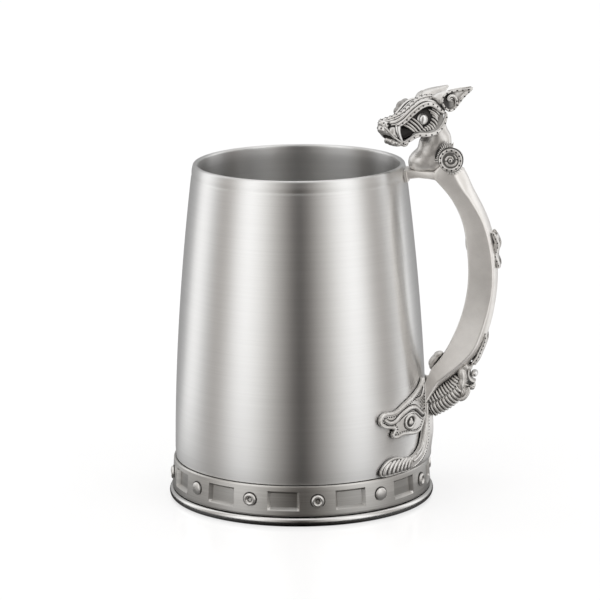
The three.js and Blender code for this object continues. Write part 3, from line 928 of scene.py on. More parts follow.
# %% The pad behind the arm
pad_low, pad_high = node_box("arm_pad")
half_pad = pad_high.y * WRAP_RADIUS / 41
pad_outline = [
    (-half_pad, pad_low.z), (half_pad, pad_low.z), (half_pad, pad_high.z), (-half_pad, pad_high.z),
]
pad = plate_on_cup("arm_pad_plate", pad_outline, 1.1, 1.2, -0.05, edge=0.3)
place(pad, "bow", "satin_pewter", "arm_pad")
print("pad is", round(2 * half_pad, 1), "wide")

# %% [markdown]
# ## The neck and chest
#
# The neck is one smooth casting that swells into a chest over the arm. Such a form is
# easiest from a few overlapping balls: the voxel remesh melts them into one skin, and a
# smooth takes out the creases that a founder would fill with wax.

# %% Melt balls into one skin
def melted(name, balls, voxel=0.35, rounds=8):
    """Melts ellipsoids, each (radii, centre, lean in degrees about Y), into one smooth skin."""
    deselect_all()
    parts = []
    for radii, centre, lean in balls:
        bpy.ops.mesh.primitive_uv_sphere_add(segments=24, ring_count=16, radius=MM)
        part = bpy.context.active_object
        part.scale = radii
        part.rotation_euler = (0, math.radians(lean), 0)
        part.location = Vector(centre) * MM
        parts.append(settle(part))
    piece = joined(name, *parts)
    modify(piece, "REMESH", mode="VOXEL", voxel_size=voxel * MM)
    modify(piece, "SMOOTH", factor=0.6, iterations=rounds)
    return smooth(piece, 180)


print("melting helper ready")

# %% Melt the neck
neck = melted("neck_and_chest", [
    ((6.4, 5.9, 5.0), (46.9, 0, 128.6), -24),
    ((5.8, 5.9, 4.8), (50.8, 0, 128.2), 0),
    ((5.2, 5.3, 6.4), (49.9, 0, 133.0), -20),
    ((4.3, 4.7, 9.0), (51.7, 0, 137.5), -6),
    ((3.8, 4.2, 5.8), (53.3, 0, 135.0), 12),
    ((5.0, 5.8, 4.6), (54.4, 0, 129.8), 10),
], 0.55, 22)
ARM_UPPER_FACE = 123.6
reshape(neck, lambda x, y, z: clear_of_cup(x, y, max(z, ARM_UPPER_FACE), 0.6))
place(neck, "plain", "satin_pewter", "neck")
print("neck faces:", len(neck.data.polygons))

# %% [markdown]
# ## The shoulder rosettes
#
# A rosette is a pitted ring round a spiral with a bead in its middle, and hides where the
# neck, the arm and the bow meet. It is modelled lying down, round +Z: the ring is spun and
# the spiral is a bar rolled along a line. It is then stood against the shoulder, and its
# twin is a mirror image, set a little lower and nearer to the cup.

# %% Bars, beads and mirror images
def rolled(name, rings):
    """Rolls a grid through closed rings of corners, each ring with as many corners."""
    around = len(rings[0])
    deselect_all()
    bpy.ops.mesh.primitive_grid_add(
        x_subdivisions=around, y_subdivisions=len(rings) - 1, size=MM,
    )
    piece = bpy.context.active_object
    set_places(piece, [ring[i % around] for ring in rings for i in range(around + 1)])
    return clean(piece, name)


def tube(name, line, radius, around=8, ends=0.35, flatten=1.0):
    """A round bar along a line of (x, y, z) points, drawn in towards its ends."""
    rings = []
    count = len(line)
    for i, place in enumerate(line):
        ahead = Vector(line[min(i + 1, count - 1)])
        behind = Vector(line[max(i - 1, 0)])
        way = (ahead - behind).normalized()
        side = way.cross(Vector((0, 1, 0)))
        side = side.normalized() if side.length > 1e-6 else Vector((1, 0, 0))
        lift = way.cross(side).normalized()
        along = i / (count - 1)
        size = radius * (1 - (1 - ends) * abs(2 * along - 1) ** 4)
        rings.append([
            tuple(
                Vector(place)
                + side * size * math.cos(2 * math.pi * k / around)
                + lift * size * flatten * math.sin(2 * math.pi * k / around)
            )
            for k in range(around)
        ])
    return smooth(rolled(name, rings), 60)


def beads(name, places, radius, segments=8, rings=6):
    """One mesh of small round heads at (x, y, z) places."""
    size = {"segments": segments, "ring_count": rings, "radius": radius * MM}
    deselect_all()
    bpy.ops.mesh.primitive_uv_sphere_add(location=Vector(places[0]) * MM, **size)
    piece = settle(bpy.context.active_object)
    bpy.ops.object.mode_set(mode="EDIT")
    for spot in places[1:]:
        bpy.ops.mesh.primitive_uv_sphere_add(location=Vector(spot) * MM, **size)
    bpy.ops.object.mode_set(mode="OBJECT")
    return smooth(named(piece, name))


def mirrored(piece, name):
    """A copy of a piece for the beast's other side."""
    twin = copied(piece, name)
    twin.scale.y = -1
    return face_outwards(settle(twin))


print("bar and bead helpers ready")

# %% Stand a piece against the shoulder
rosette_low, rosette_high = node_box("left_rosette")
rosette_x = (rosette_high.x + rosette_low.x) / 2
rosette_z = (rosette_high.z + rosette_low.z) / 2 + 0.8
FAR_SHRINK = 0.9


def laid_on_side(piece):
    """Lays a piece modelled round +Z on the beast's left side, at the rosette's place."""
    seat = abs(rosette_high.y)
    reshape(piece, lambda x, y, z: (rosette_x + x, -seat - z, rosette_z + y))
    return piece


def far_side(piece):
    """Sets a shoulder piece of the right side a little lower and nearer to the cup."""
    reshape(piece, lambda x, y, z: (
        rosette_x - 1.6 + (x - rosette_x) * FAR_SHRINK, y - 1.2,
        rosette_z - 2.4 + (z - rosette_z) * FAR_SHRINK,
    ))
    return piece


def place_pair(left_piece, right_name, finish, slot, node):
    """Shows a shoulder piece and its twin, which stand for the left and right nodes."""
    place(far_side(mirrored(left_piece, right_name)), finish, slot, "right_" + node)
    place(left_piece, finish, slot, "left_" + node)


print("shoulder at", round(rosette_x, 1), round(rosette_z, 1))

# %% Model the rosette and its twin
PITS_ROUND = 13
PIT_CIRCLE = 3.72
SPIRAL_START, SPIRAL_STEP = 60, 45
disc = turned("rosette", [
    (0, 0), (4.1, 0), (4.35, 0.3), (4.4, 0.9), (4.2, 1.4), (3.8, 1.6), (3.3, 1.5), (2.95, 1.1),
    (2.8, 0.5), (1.5, 0.42), (0, 0.42),
], 64)
seam = turned("rosette_seam", [(4.0, -0.1), (4.7, -0.1), (4.65, 0.2), (4.1, 0.3), (4.0, -0.1)], 64)
ground = turned("rosette_floor", [(0, 0.3), (2.78, 0.3), (2.84, 0.62), (1.5, 0.58), (0, 0.58)], 48)
spiral_line = []
for k in range(10):
    turn = math.radians(SPIRAL_START - SPIRAL_STEP * k)
    reach = 2.6 * (1 - k / 15)
    spiral_line.append((reach * math.cos(turn), reach * math.sin(turn), 0.85))
spiral = tube("spiral", curved(spiral_line, 3), 0.5, 8, 0.5)
middle = turned("middle", [(0, 0.4), (0.85, 0.4), (0.9, 0.9), (0.7, 1.35), (0.35, 1.55), (0, 1.6)], 24)
pit_places = []
for k in range(PITS_ROUND):
    turn = 2 * math.pi * k / PITS_ROUND
    pit_places.append((PIT_CIRCLE * math.cos(turn), PIT_CIRCLE * math.sin(turn), 1.45))
pits = beads("pits", pit_places + [(0, 0, 1.5)], 0.4)
rosette = laid_on_side(joined(
    "left_shoulder_rosette", smooth(disc, 40), blacken(seam), blacken(ground, 0.75), spiral,
    smooth(middle, 60), blacken(pits),
))
place_pair(rosette, "right_shoulder_rosette", "satin", "aged_pewter", "rosette")
print("rosette pits:", PITS_ROUND)

# %% [markdown]
# ## The ribbed collars
#
# Behind each rosette stands a fan of small ribs, like folded skin round a shoulder joint.
# One rib is a short bar that leans outwards along its length, and a loop sets it round the
# rosette. A black bar behind the ribs fills the gaps between them.

# %% Model the collar and its twin
RIBS = 15
LOWER_RIBS = 7


def rib_round_hub(degrees, inner, outer, width, y_in, y_out):
    """One rounded rib, radial to the hub, its crest facing sideways."""
    turn = math.radians(degrees)
    way = Vector((math.cos(turn), 0, math.sin(turn)))
    centre = Vector((rosette_x, 0, rosette_z))
    line = []
    for k in range(5):
        aside = Vector((0, y_out + (y_in - y_out) * (k / 4) ** 2, 0))
        line.append(tuple(centre + way * (inner + (outer - inner) * k / 4) + aside))
    return tube("rib", line, width, 8, 0.55)


rib_parts = []
for n in range(RIBS):
    reach = 6.3 + 0.5 * math.sin(n * 0.45)
    rib_parts.append(rib_round_hub(82 + 106 * n / (RIBS - 1), 4.4, reach, 0.27, -5.2, -6.5))
for n in range(LOWER_RIBS):
    rib_parts.append(rib_round_hub(-100 + 60 * n / (LOWER_RIBS - 1), 4.5, 5.8, 0.26, -6.5, -6.9))
backing_line = [(x, -5.5, z) for x, z in arc(rosette_x, rosette_z, 5.3, 82, 186, 13)]
backing = blacken(tube("backing", backing_line, 0.85, 10, 0.6))
collar = joined("left_ribbed_collar", *rib_parts, backing)
place_pair(collar, "right_ribbed_collar", "aged_and_shaded", "aged_pewter", "collar")
print("collar ribs:", RIBS + LOWER_RIBS)

# %% [markdown]
# ## The head
#
# The beast's head is built as a maker of small castings would build it in wax: a core for
# the skull, black as painted shade, and on it the strips, slats, lids and rivets. All of it is
# modelled in the head's own frame, looking along -X, and turned to the beast's left at the
# end. The left side is modelled and the right side is its mirror image.

# %% The head's frame
HEAD_TURN = math.radians(33)
HEAD_AXIS = 52.0
HEAD_TILT = 0.2     # the far side hangs a little


def turn_head(piece):
    """Turns a piece from the head's own frame to the head's place on the neck."""
    reshape(piece, lambda x, y, z: (
        HEAD_AXIS + x * math.cos(HEAD_TURN) - y * math.sin(HEAD_TURN),
        x * math.sin(HEAD_TURN) + y * math.cos(HEAD_TURN), z - HEAD_TILT * max(y, 0),
    ))
    return piece


def both_sides(left_piece, name):
    """Joins a left piece of the head with its mirror image."""
    twin = mirrored(left_piece, name + "_right")
    return joined(name, left_piece, twin)


def left(points):
    """Points given as (x, distance from the middle, z) on the head's left side."""
    return [(x, -out, z) for x, out, z in points]


print("head turned by", round(math.degrees(HEAD_TURN)), "degrees")

# %% Sheets, ribbons and rows of rivets
def loft_lines(name, lines, spans=5, thickness=0.5):
    """A sheet through several lines of as many points, given its thickness inwards."""
    smooth_lines = [curved(line, spans) for line in lines]
    across = list(zip(*smooth_lines))
    rows = [curved(list(points), 4) for points in across]
    deselect_all()
    bpy.ops.mesh.primitive_grid_add(
        x_subdivisions=len(rows[0]) - 1, y_subdivisions=len(rows) - 1, size=MM,
    )
    piece = bpy.context.active_object
    set_places(piece, [p for row in rows for p in row])
    piece.name = name
    modify(piece, "SOLIDIFY", thickness=thickness * MM, offset=-1)
    return smooth(face_outwards(piece), 70)


def ribbon(name, line, width, lean=(0, -1, 0), spans=4, thick=0.5):
    """A strip with a rounded face along a line of (x, y, z) points, its face along lean."""
    path = [Vector(p) for p in curved(line, spans)]
    rings = []
    count = len(path)
    facing = Vector(lean).normalized()
    for i, here in enumerate(path):
        way = (path[min(i + 1, count - 1)] - path[max(i - 1, 0)]).normalized()
        side = way.cross(facing).normalized()
        out = side.cross(way).normalized()
        along = i / (count - 1)
        size = width / 2 * (1 - 0.55 * abs(2 * along - 1) ** 5)
        ring = []
        for a, b in (
            (1, -0.6), (1, 0.2), (0.75, 0.75), (0.3, 1), (-0.3, 1), (-0.75, 0.75), (-1, 0.2), (-1, -0.6)
        ):
            ring.append(tuple(here + side * size * a + out * (thick * b)))
        rings.append(ring)
    return smooth(rolled(name, rings), 50)


def spaced(line, pitch):
    """Places at an even pitch along a line, the first of them half a pitch from its end."""
    lengths = [0]
    for here, there in zip(line, line[1:]):
        lengths.append(lengths[-1] + (Vector(there) - Vector(here)).length)
    count = max(1, round(lengths[-1] / pitch))
    step = lengths[-1] / count
    places = []
    for n in range(count):
        goal = (n + 0.5) * step
        i = max(k for k in range(len(line) - 1) if lengths[k] <= goal)
        share = (goal - lengths[i]) / (lengths[i + 1] - lengths[i])
        places.append(tuple(Vector(line[i]).lerp(Vector(line[i + 1]), share)))
    return places


def riveted(name, line, width, pitch, pit=0.27, lean=(0, -1, 0), edges=(0,), thick=0.5):
    """A ribbon with rows of black pits along it, each row at a share of its half width."""
    strip = ribbon(name, line, width, lean, thick=thick)
    facing = Vector(lean).normalized()
    fine = [Vector(p) for p in curved(line, 6)]
    places = []
    for edge in edges:
        shifted = []
        for i, here in enumerate(fine):
            way = (fine[min(i + 1, len(fine) - 1)] - fine[max(i - 1, 0)]).normalized()
            side = way.cross(facing).normalized()
            out = side.cross(way).normalized()
            shifted.append(
                tuple(here + side * edge * width / 2 + out * thick * (0.96 - 0.35 * edge * edge))
            )
        places += spaced(shifted, pitch)
    pits = blacken(beads("pits", places, pit))
    return joined(name, strip, pits)


print("head helpers ready")

# %% [markdown]
# ## The skull's dark core
#
# Between the strips of the face one looks into a hollow in shade, so the core is a lofted
# body marked black all over as painted shade: closed rings of corners, rolled from the
# nose to the nape. A second black body, also painted shade, hangs under its front and lines
# the mouth.

# %% Loft the core and the mouth's lining
CORE = [            # (x, lowest, highest, half width)
    (-23.6, 142.4, 144.4, 1.8), (-22.2, 141.6, 144.8, 2.6), (-20.4, 142.2, 145.0, 3.2),
    (-18.4, 142.8, 145.4, 3.5), (-16, 142.4, 146.4, 4.0), (-13.6, 140.8, 147.8, 4.6),
    (-11, 140.0, 149.8, 5.0), (-8, 139.8, 151.2, 5.2), (-5, 140.2, 151.6, 5.3),
    (-2.4, 141.8, 151.4, 5.2), (-0.2, 144.6, 150.8, 4.6), (1.4, 146.8, 149.6, 3.2),
]
LINING = [
    (-22.6, 140.2, 143.6, 2.2), (-21.4, 138.6, 143.4, 2.8), (-19.6, 137.6, 143.2, 2.9),
    (-17, 137.4, 143.4, 3.4), (-14.6, 138.2, 143.4, 4.1), (-12.8, 139.2, 143.4, 4.7),
    (-11.2, 140.0, 143.2, 5.0),
]


def squarish(t, power=0.72):
    """The cosine and sine of an angle, pushed out towards the corners of a square."""
    c, s = math.cos(t), math.sin(t)
    return math.copysign(abs(c) ** power, c), math.copysign(abs(s) ** power, s)


def dark_body(name, sections, around):
    """A body rolled through squarish sections of the head and marked black, as painted shade."""
    rings = []
    for x, low, high, half in sections:
        corners = [squarish(2 * math.pi * k / around) for k in range(around)]
        rings.append([(x, half * c, (low + high) / 2 + (high - low) / 2 * s) for c, s in corners])
    return blacken(smooth(rolled(name, rings), 60))


head_parts = [dark_body("core", curved(CORE, 3), 28), dark_body("lining", LINING, 20)]
print("core sections:", len(CORE))

# %% [markdown]
# ## Forehead, crest and nose
#
# The forehead is a sheet stretched through four lines that run from the nose to the ear:
# the crest's edge, a valley, a ridge and the line under it. Fine strands lie along it, and
# a riveted crest runs down the middle. The nose is melted from balls.

# %% Stretch the forehead and lay strands and the crest on it
CREST = [
    (-24.2, 0, 145.0), (-22.4, 0, 145.5), (-20.6, 0, 145.9), (-17.9, 0, 146.6), (-14.2, 0, 148.2),
    (-10.6, 0, 150.8), (-8.6, 0, 152.2), (-6.2, 0, 152.9), (-3.6, 0, 153.0), (-1.2, 0, 152.7),
    (0.6, 0, 151.4), (1.8, 0, 149.2),
]
crest_edge = [(x, 1.5, z - 0.25) for x, _, z in CREST[1:11]]
VALLEY = [
    (-22.2, 2.3, 144.6), (-20.4, 2.3, 144.7), (-18.0, 2.4, 145.2), (-15.0, 2.6, 146.6),
    (-12.2, 2.9, 148.7),
    (-9.8, 3.1, 150.6), (-7.4, 3.3, 151.5), (-4.6, 3.6, 151.5), (-2.0, 3.8, 150.8), (0.2, 3.8, 149.4),
]
RIDGE = [
    (-21.6, 3.3, 144.6), (-19.4, 3.5, 144.9), (-17.0, 3.8, 146.0), (-14.6, 4.2, 147.9),
    (-12.2, 4.7, 150.1),
    (-10.0, 4.7, 151.6), (-7.4, 4.9, 152.1), (-4.6, 5.2, 151.3), (-2.4, 5.6, 149.8), (-0.2, 5.8, 148.3),
]
UNDER = [
    (-21.2, 3.8, 143.6), (-18.8, 4.3, 143.9), (-16.2, 4.9, 145.4), (-14.0, 5.3, 147.3),
    (-11.6, 5.9, 149.4),
    (-9.5, 6.3, 150.7), (-7.0, 6.7, 151.2), (-4.6, 6.9, 150.2), (-2.8, 7.0, 148.6), (-0.6, 6.9, 147.1),
]
forehead = loft_lines("forehead", [left(line) for line in (crest_edge, VALLEY, RIDGE, UNDER)])
# The sheet between the strands is marked nearly black, as painted shade.
blacken(forehead, 0.92)


def between_lines(one, other, share, lift):
    """A line between two lines of the forehead, raised a little off the sheet."""
    return left([
        tuple(Vector(a).lerp(Vector(b), share) + Vector((0, 0.1, lift))) for a, b in zip(one, other)
    ])


strands = [
    ribbon("strand", between_lines(one, other, share, lift), width, lean, thick=thick)
    for one, other, share, lift, width, lean, thick in (
        (crest_edge, VALLEY, 0.45, 0.2, 0.85, (0, -0.4, 1), 0.35),
        (VALLEY, RIDGE, 0.35, 0.15, 0.5, (0, -0.4, 1), 0.35),
        (VALLEY, RIDGE, 0.95, 0.15, 1.2, (0, -0.6, 1), 0.5),
        (RIDGE, UNDER, 0.72, 0.1, 0.6, (0, -1, 0.6), 0.35),
    )
]
pit_line = [(x, y, z + 0.4) for x, y, z in curved(between_lines(crest_edge, VALLEY, 0.45, 0.12), 4)]
strand_pits = blacken(beads("strand_pits", spaced(pit_line, 2.3), 0.27))
forehead = joined("forehead", forehead, *strands, strand_pits)
head_parts.append(both_sides(forehead, "forehead_both"))
head_parts.append(riveted("crest", CREST, 2.3, 2.0, 0.3, (0, 0, 1), (-0.6, 0.6), 0.5))
print("forehead strands:", len(strands))

# %% Melt the nose and the far brow's lobe
brow_lobe = melted("brow_lobe", [
    ((1.6, 1.4, 1.6), (-13.7, 6.0, 148.4), 0), ((2.2, 1.5, 2.3), (-12.0, 6.2, 149.9), 0),
    ((1.9, 1.4, 1.9), (-10.4, 6.3, 151.0), 0),
], 0.25, 6)
head_parts.append(blacken(brow_lobe, 0.5))
nose = melted("nose", [
    ((1.7, 2.4, 1.5), (-22.7, 0, 144.2), 20), ((1.5, 1.3, 1.3), (-22.4, -1.8, 143.9), 0),
    ((1.5, 1.3, 1.3), (-22.4, 1.8, 143.9), 0), ((2.1, 3.1, 1.8), (-22.5, 0, 141.9), 28),
    ((2.0, 3.3, 1.3), (-21.2, 0, 140.6), 38), ((2.3, 3.3, 1.6), (-19.8, 0, 144.3), 0),
    ((1.8, 3.3, 1.2), (-20.4, 0, 142.6), 0),
], 0.28, 4)
NOSE_PITS = (       # (x, distance from the middle, z)
    (-23.4, 2.2, 144.6), (-22.2, 2.95, 144.3), (-20.6, 3.2, 144.7), (-24.1, 1.5, 142.6),
    (-23.2, 2.7, 142.9),
)
nostrils = blacken(beads("nostrils", [
    (x, side * out, z) for x, out, z in NOSE_PITS for side in (-1, 1)
], 0.36))
head_parts += [nose, nostrils]
print("nose pits:", 2 * len(NOSE_PITS))

# %% [markdown]
# ## Lips, cheek and slats
#
# The lip is a melted bulge with a rolled rim. The cheek is a riveted border round a dished
# sheet, and slats cross the hollow between the mouth and the brow, as tendons would.

# %% The lip and the cheek
lip_bulge = melted("lip", [
    ((1.9, 1.4, 2.1), (-20.2, -3.4, 141.4), 10), ((1.4, 1.2, 1.5), (-19.4, -3.6, 140.0), 0),
], 0.25, 4)
lip_rim = tube("lip_rim", curved(left([
    (-23.6, 2.2, 143.4), (-22.8, 3.4, 142.6), (-21.9, 4.2, 141.2), (-20.6, 4.7, 139.7),
    (-18.9, 4.9, 138.4), (-17.2, 4.9, 137.6),
]), 4), 0.36, 8, 0.6)
CHEEK_BORDER = left([
    (-18.0, 4.6, 137.2), (-16.2, 5.0, 137.3), (-14.2, 5.5, 138.3), (-12.2, 6.0, 139.5),
    (-10.2, 6.4, 139.9), (-7.8, 6.7, 139.7), (-5.2, 6.9, 140.0), (-3.1, 7.0, 141.0),
    (-1.5, 7.1, 142.8), (-0.6, 7.1, 144.8), (-0.2, 7.1, 146.9),
])
cheek_border = riveted("cheek_border", CHEEK_BORDER, 1.7, 2.2, 0.34, (0, -1, 0), (0.1,), 0.6)
cheek_sheet = loft_lines("cheek", [
    left([
        (-14.0, 5.2, 138.9), (-10.2, 6.0, 140.3), (-7.6, 6.3, 140.2), (-5.0, 6.5, 140.6),
        (-3.2, 6.6, 141.6), (-1.9, 6.7, 143.3), (-1.2, 6.7, 145.0), (-1.2, 6.7, 146.6),
    ]),
    left([
        (-12.6, 4.9, 140.2), (-9.8, 5.3, 141.2), (-7.6, 5.4, 141.1), (-5.6, 5.5, 141.6),
        (-4.4, 5.6, 142.5), (-3.2, 5.6, 143.9), (-2.6, 5.6, 145.4), (-2.4, 5.6, 146.8),
    ]),
], 4, 0.4)
# The dished sheet behind the slats is darkened, as painted shade.
blacken(cheek_sheet, 0.45)
print("cheek faces:", len(cheek_sheet.data.polygons))

# %% The slats, and the whole skull
SLATS = [           # each slat's two ends, (x, distance from the middle, z)
    ((-16.5, 4.3, 143.9), (-12.2, 5.3, 140.9)), ((-15.5, 4.5, 144.7), (-11.0, 5.6, 140.6)),
    ((-14.3, 4.8, 145.4), (-9.9, 5.8, 141.1)), ((-13.2, 5.0, 146.1), (-9.2, 5.8, 142.0)),
    ((-9.3, 5.7, 142.0), (-8.3, 5.9, 140.7)), ((-8.5, 5.7, 142.6), (-7.3, 6.0, 141.0)),
    ((-7.6, 5.7, 143.0), (-6.2, 6.0, 141.0)), ((-6.8, 5.7, 143.5), (-4.9, 6.1, 141.1)),
    ((-6.1, 5.7, 144.3), (-4.2, 6.1, 141.8)), ((-5.6, 5.7, 145.5), (-3.4, 6.1, 142.9)),
    ((-5.3, 5.7, 146.6), (-3.1, 6.1, 144.4)), ((-6.0, 5.7, 147.8), (-3.2, 6.2, 145.3)),
    ((-6.8, 5.8, 148.9), (-3.0, 6.3, 146.0)), ((-5.4, 5.9, 149.2), (-2.6, 6.4, 146.7)),
]
SLAT_BULGE = 0.35
slats = []
for (x0, out0, z0), (x1, out1, z1) in SLATS:
    halfway = ((x0 + x1) / 2 + 0.15, (out0 + out1) / 2 + SLAT_BULGE, (z0 + z1) / 2 + 0.15)
    line = curved(left([(x0, out0, z0), halfway, (x1, out1, z1)]), 4)
    slats.append(tube("slat", line, 0.42, 8, 0.45))
slats = joined("slats", *slats)
side_parts = joined("side_parts", lip_bulge, lip_rim, cheek_border, cheek_sheet, slats)
head_parts.append(both_sides(side_parts, "side_parts_both"))
skull = turn_head(joined("skull_casting", *head_parts))
place(skull, "aged_and_shaded", "satin_pewter", "skull")
print("skull faces:", len(skull.data.polygons))

# %% [markdown]
# ## The lower jaw
#
# The jaw hangs open under the lining. Its lumpy lip is melted from balls in pairs, and
# three short teeth stand in it on each side.

# %% Melt the jaw and set its teeth
JAW_BALLS = [((1.5, 2.3, 1.4), (-20.9, 0, 138.2), 15), ((1.7, 2.5, 1.1), (-19.4, 0, 137.1), 0),
             ((2.0, 3.0, 1.0), (-17.6, 0, 136.6), -5), ((2.2, 3.6, 1.0), (-15.8, 0, 136.9), -22)]
for radii, (x, out, z), lean in (
    ((1.2, 0.9, 1.2), (-20.6, 2.2, 138.0), 0), ((1.1, 0.8, 1.1), (-18.6, 3.2, 137.3), 0),
    ((1.5, 0.9, 1.1), (-16.4, 4.0, 137.0), -15),
):
    JAW_BALLS += [(radii, (x, -out, z), lean), (radii, (x, out, z), lean)]
JAW_BALLS.append(((2.4, 3.8, 1.0), (-13.8, 0, 138.6), -30))
jaw = melted("jaw", JAW_BALLS, 0.28, 3)
jaw_rivets = blacken(beads("jaw_rivets", [(-16.6, side * 4.75, 137.1) for side in (-1, 1)], 0.4))
teeth = []
for n in range(3):
    x, out = -20.9 + 1.3 * n, 1.9 + 0.28 * n
    for side in (-1, 1):
        line = [(x, side * out, 137.6), (x - 0.1, side * out, 138.5), (x - 0.15, side * out, 139.2)]
        teeth.append(tube("tooth", line, 0.34, 6, 0.25))
jaw = joined("jaw_casting", jaw, jaw_rivets, *teeth)
reshape(jaw, lambda x, y, z: (x + 0.7, y, z - 0.45))
place(turn_head(jaw), "aged_and_shaded", "satin_pewter", "lower_jaw")
print("teeth:", len(teeth))

# %% [markdown]
# ## The ears
#
# An ear is a leaf-shaped shell with a raised, pitted border. Its outline is shrunk step by
# step and rolled, which gives the border and the hollow in one skin. A hook that ends in a
# bead lies in the hollow, a lobe runs from its root to the crest, and a back closes it.

# %% The ear's shell, hook and border
EAR = [
    (-0.6, 148.4), (-1.9, 149.8), (-2.6, 151.6), (-2.4, 153.4), (-1.4, 154.6), (0.2, 155.5),
    (3.2, 156.1), (6.2, 156.2), (9.4, 156.5),
    (8.2, 154.6), (6.6, 152.6), (5.2, 150.8), (3.9, 149.3), (2.4, 148.1), (0.8, 147.7),
]
EAR_CENTRE = Vector((1.0, 151.8))
EAR_STEPS = (       # (share of the outline, distance from the head's middle)
    (0.1, 6.3), (0.8, 6.3), (0.97, 6.6), (1.0, 7.0), (0.97, 7.5), (0.9, 7.75), (0.81, 7.75),
    (0.75, 7.5), (0.72, 7.05), (0.6, 6.9), (0.35, 6.85), (0.1, 6.85),
)


def ear_rule(x, y, z):
    """Cups the ear's face and swings its tip outwards."""
    middle_x, middle_z = 1.6, 152
    away = math.hypot((x - middle_x) / 5, (z - middle_z) / 4.2)
    out = 0.9 * min(away, 1.6) ** 2 + 0.06 * (x - middle_x)
    return x, y - out, z


def ear_line(outline, share, out):
    """The ear's outline, shrunk about its centre, at a distance from the head's middle."""
    centre = EAR_CENTRE
    return [
        (centre.x + (x - centre.x) * share, -out, centre.y + (z - centre.y) * share)
        for x, z in outline
    ]


def ear_patina(x, y, z):
    """Black in the ear's hollow, and paler towards its tip."""
    return max(0, 0.95 - 0.28 * max(0, x - 0.6)) if -7.3 < y < -6.7 else 0


def ear_front():
    """The shell with its hook, its bead and its row of pits."""
    outline = curved(EAR, 3, closed=True)
    rings = [ear_line(outline, share, out) for share, out in EAR_STEPS]
    shell = blacken(smooth(rolled("ear_shell", rings), 60), ear_patina)
    hook = tube("hook", curved([
        (3.2, -7.5, 149.2), (3.5, -7.7, 150.8), (3.3, -7.8, 152.4), (2.3, -7.8, 153.6),
        (0.9, -7.8, 153.6), (0.2, -7.8, 152.7), (0.7, -7.8, 151.9),
    ], 4), 0.62, 8, 0.6)
    bead = beads("bead", [(1.3, -7.9, 152.2)], 0.85, 12, 8)
    border = spaced(ear_line(outline + outline[:1], 0.86, 7.8), 1.95)
    inner_pits = [(1.35, -8.75, 152.3), (3.4, -8.4, 151.6), (3.3, -8.25, 150.2)]
    ear_pits = blacken(beads("ear_pits", border + inner_pits, 0.31))
    front = joined("ear", shell, hook, bead, ear_pits)
    reshape(front, ear_rule)
    return front


print("ear outline corners:", len(EAR))

# %% The ear's lobe and back
LOBE_LINES = [
    [
        (-2.7, 7.7, 151.0), (-2.9, 6.6, 150.6), (-3.2, 5.0, 150.8), (-3.4, 3.2, 151.4),
        (-3.4, 1.8, 152.0)
    ],
    [
        (-2.9, 8.0, 152.6), (-3.3, 6.8, 152.6), (-3.7, 5.2, 152.8), (-3.9, 3.6, 153.0),
        (-3.7, 2.3, 153.1)
    ],
    [
        (-1.6, 8.1, 154.4), (-2.4, 7.0, 154.4), (-2.9, 5.6, 154.5), (-3.0, 4.2, 154.4),
        (-2.9, 3.0, 154.0)
    ],
    [(0.6, 8.2, 155.6), (-0.6, 7.2, 155.5), (-1.4, 6.0, 155.4), (-1.8, 4.8, 155.1), (-2.0, 3.8, 154.6)],
]
BACK_LINES = [
    [(9.2, 9.0, 156.4), (6.4, 7.2, 153.0), (3.6, 6.2, 149.6), (0.4, 5.8, 148.2)],
    [(8.8, 8.6, 156.4), (5.0, 6.2, 153.8), (1.6, 4.8, 151.4), (-1.2, 4.2, 150.2)],
    [(8.8, 8.7, 156.4), (4.4, 6.8, 155.4), (0.6, 5.6, 154.2), (-2.0, 4.4, 152.6)],
    [(9.2, 9.0, 156.4), (5.0, 8.2, 156.1), (1.2, 7.7, 155.6), (-1.6, 7.0, 154.4)],
]


def left_ear():
    """The left ear's front, lobe and back in one piece."""
    front = ear_front()
    lobe = loft_lines("lobe", [left(line) for line in LOBE_LINES], 3, 0.5)
    back_sheet = loft_lines("back", [left(line) for line in BACK_LINES], 4, 0.4)
    return joined("left_leaf_ear", front, lobe, back_sheet)


print("ear sheets:", len(LOBE_LINES), "and", len(BACK_LINES), "lines")

# %% [markdown]
# ## Brows, eyes and fangs, and their twins
#
# The brow is a riveted ribbon, the eye two melted balls, and the fang a bar that narrows to
# its tip. Each is modelled on the left, mirrored for the right, and then turned with the
# head, so that both sides stay alike.

# %% Model the brow, the ear, the eye and the fang
BROW = left([
    (-19.6, 4.0, 143.4), (-18.2, 4.6, 143.9), (-15.8, 5.2, 145.6), (-13.9, 5.6, 147.4),
    (-11.3, 6.3, 149.6), (-9.2, 6.8, 150.8), (-6.9, 7.2, 151.2), (-4.5, 7.4, 150.1),
    (-2.7, 7.5, 148.5), (-0.4, 7.4, 147.0),
])
FANG = left([
    (-18.8, 4.6, 143.5), (-19.0, 5.1, 142.0), (-18.7, 5.4, 140.4), (-17.9, 5.3, 138.8),
    (-17.0, 4.9, 137.5),
])


def long_fang():
    """A fang rolled through flat rings that shrink towards its tip."""
    line = curved(FANG, 4)
    rings = []
    for i, (x, y, z) in enumerate(line):
        size = 1.15 - 0.85 * i / (len(line) - 1)
        turns = [2 * math.pi * k / 12 for k in range(12)]
        rings.append([(x + size * math.cos(t), y + size * 0.8 * math.sin(t), z) for t in turns])
    return smooth(rolled("left_long_fang", rings), 60)


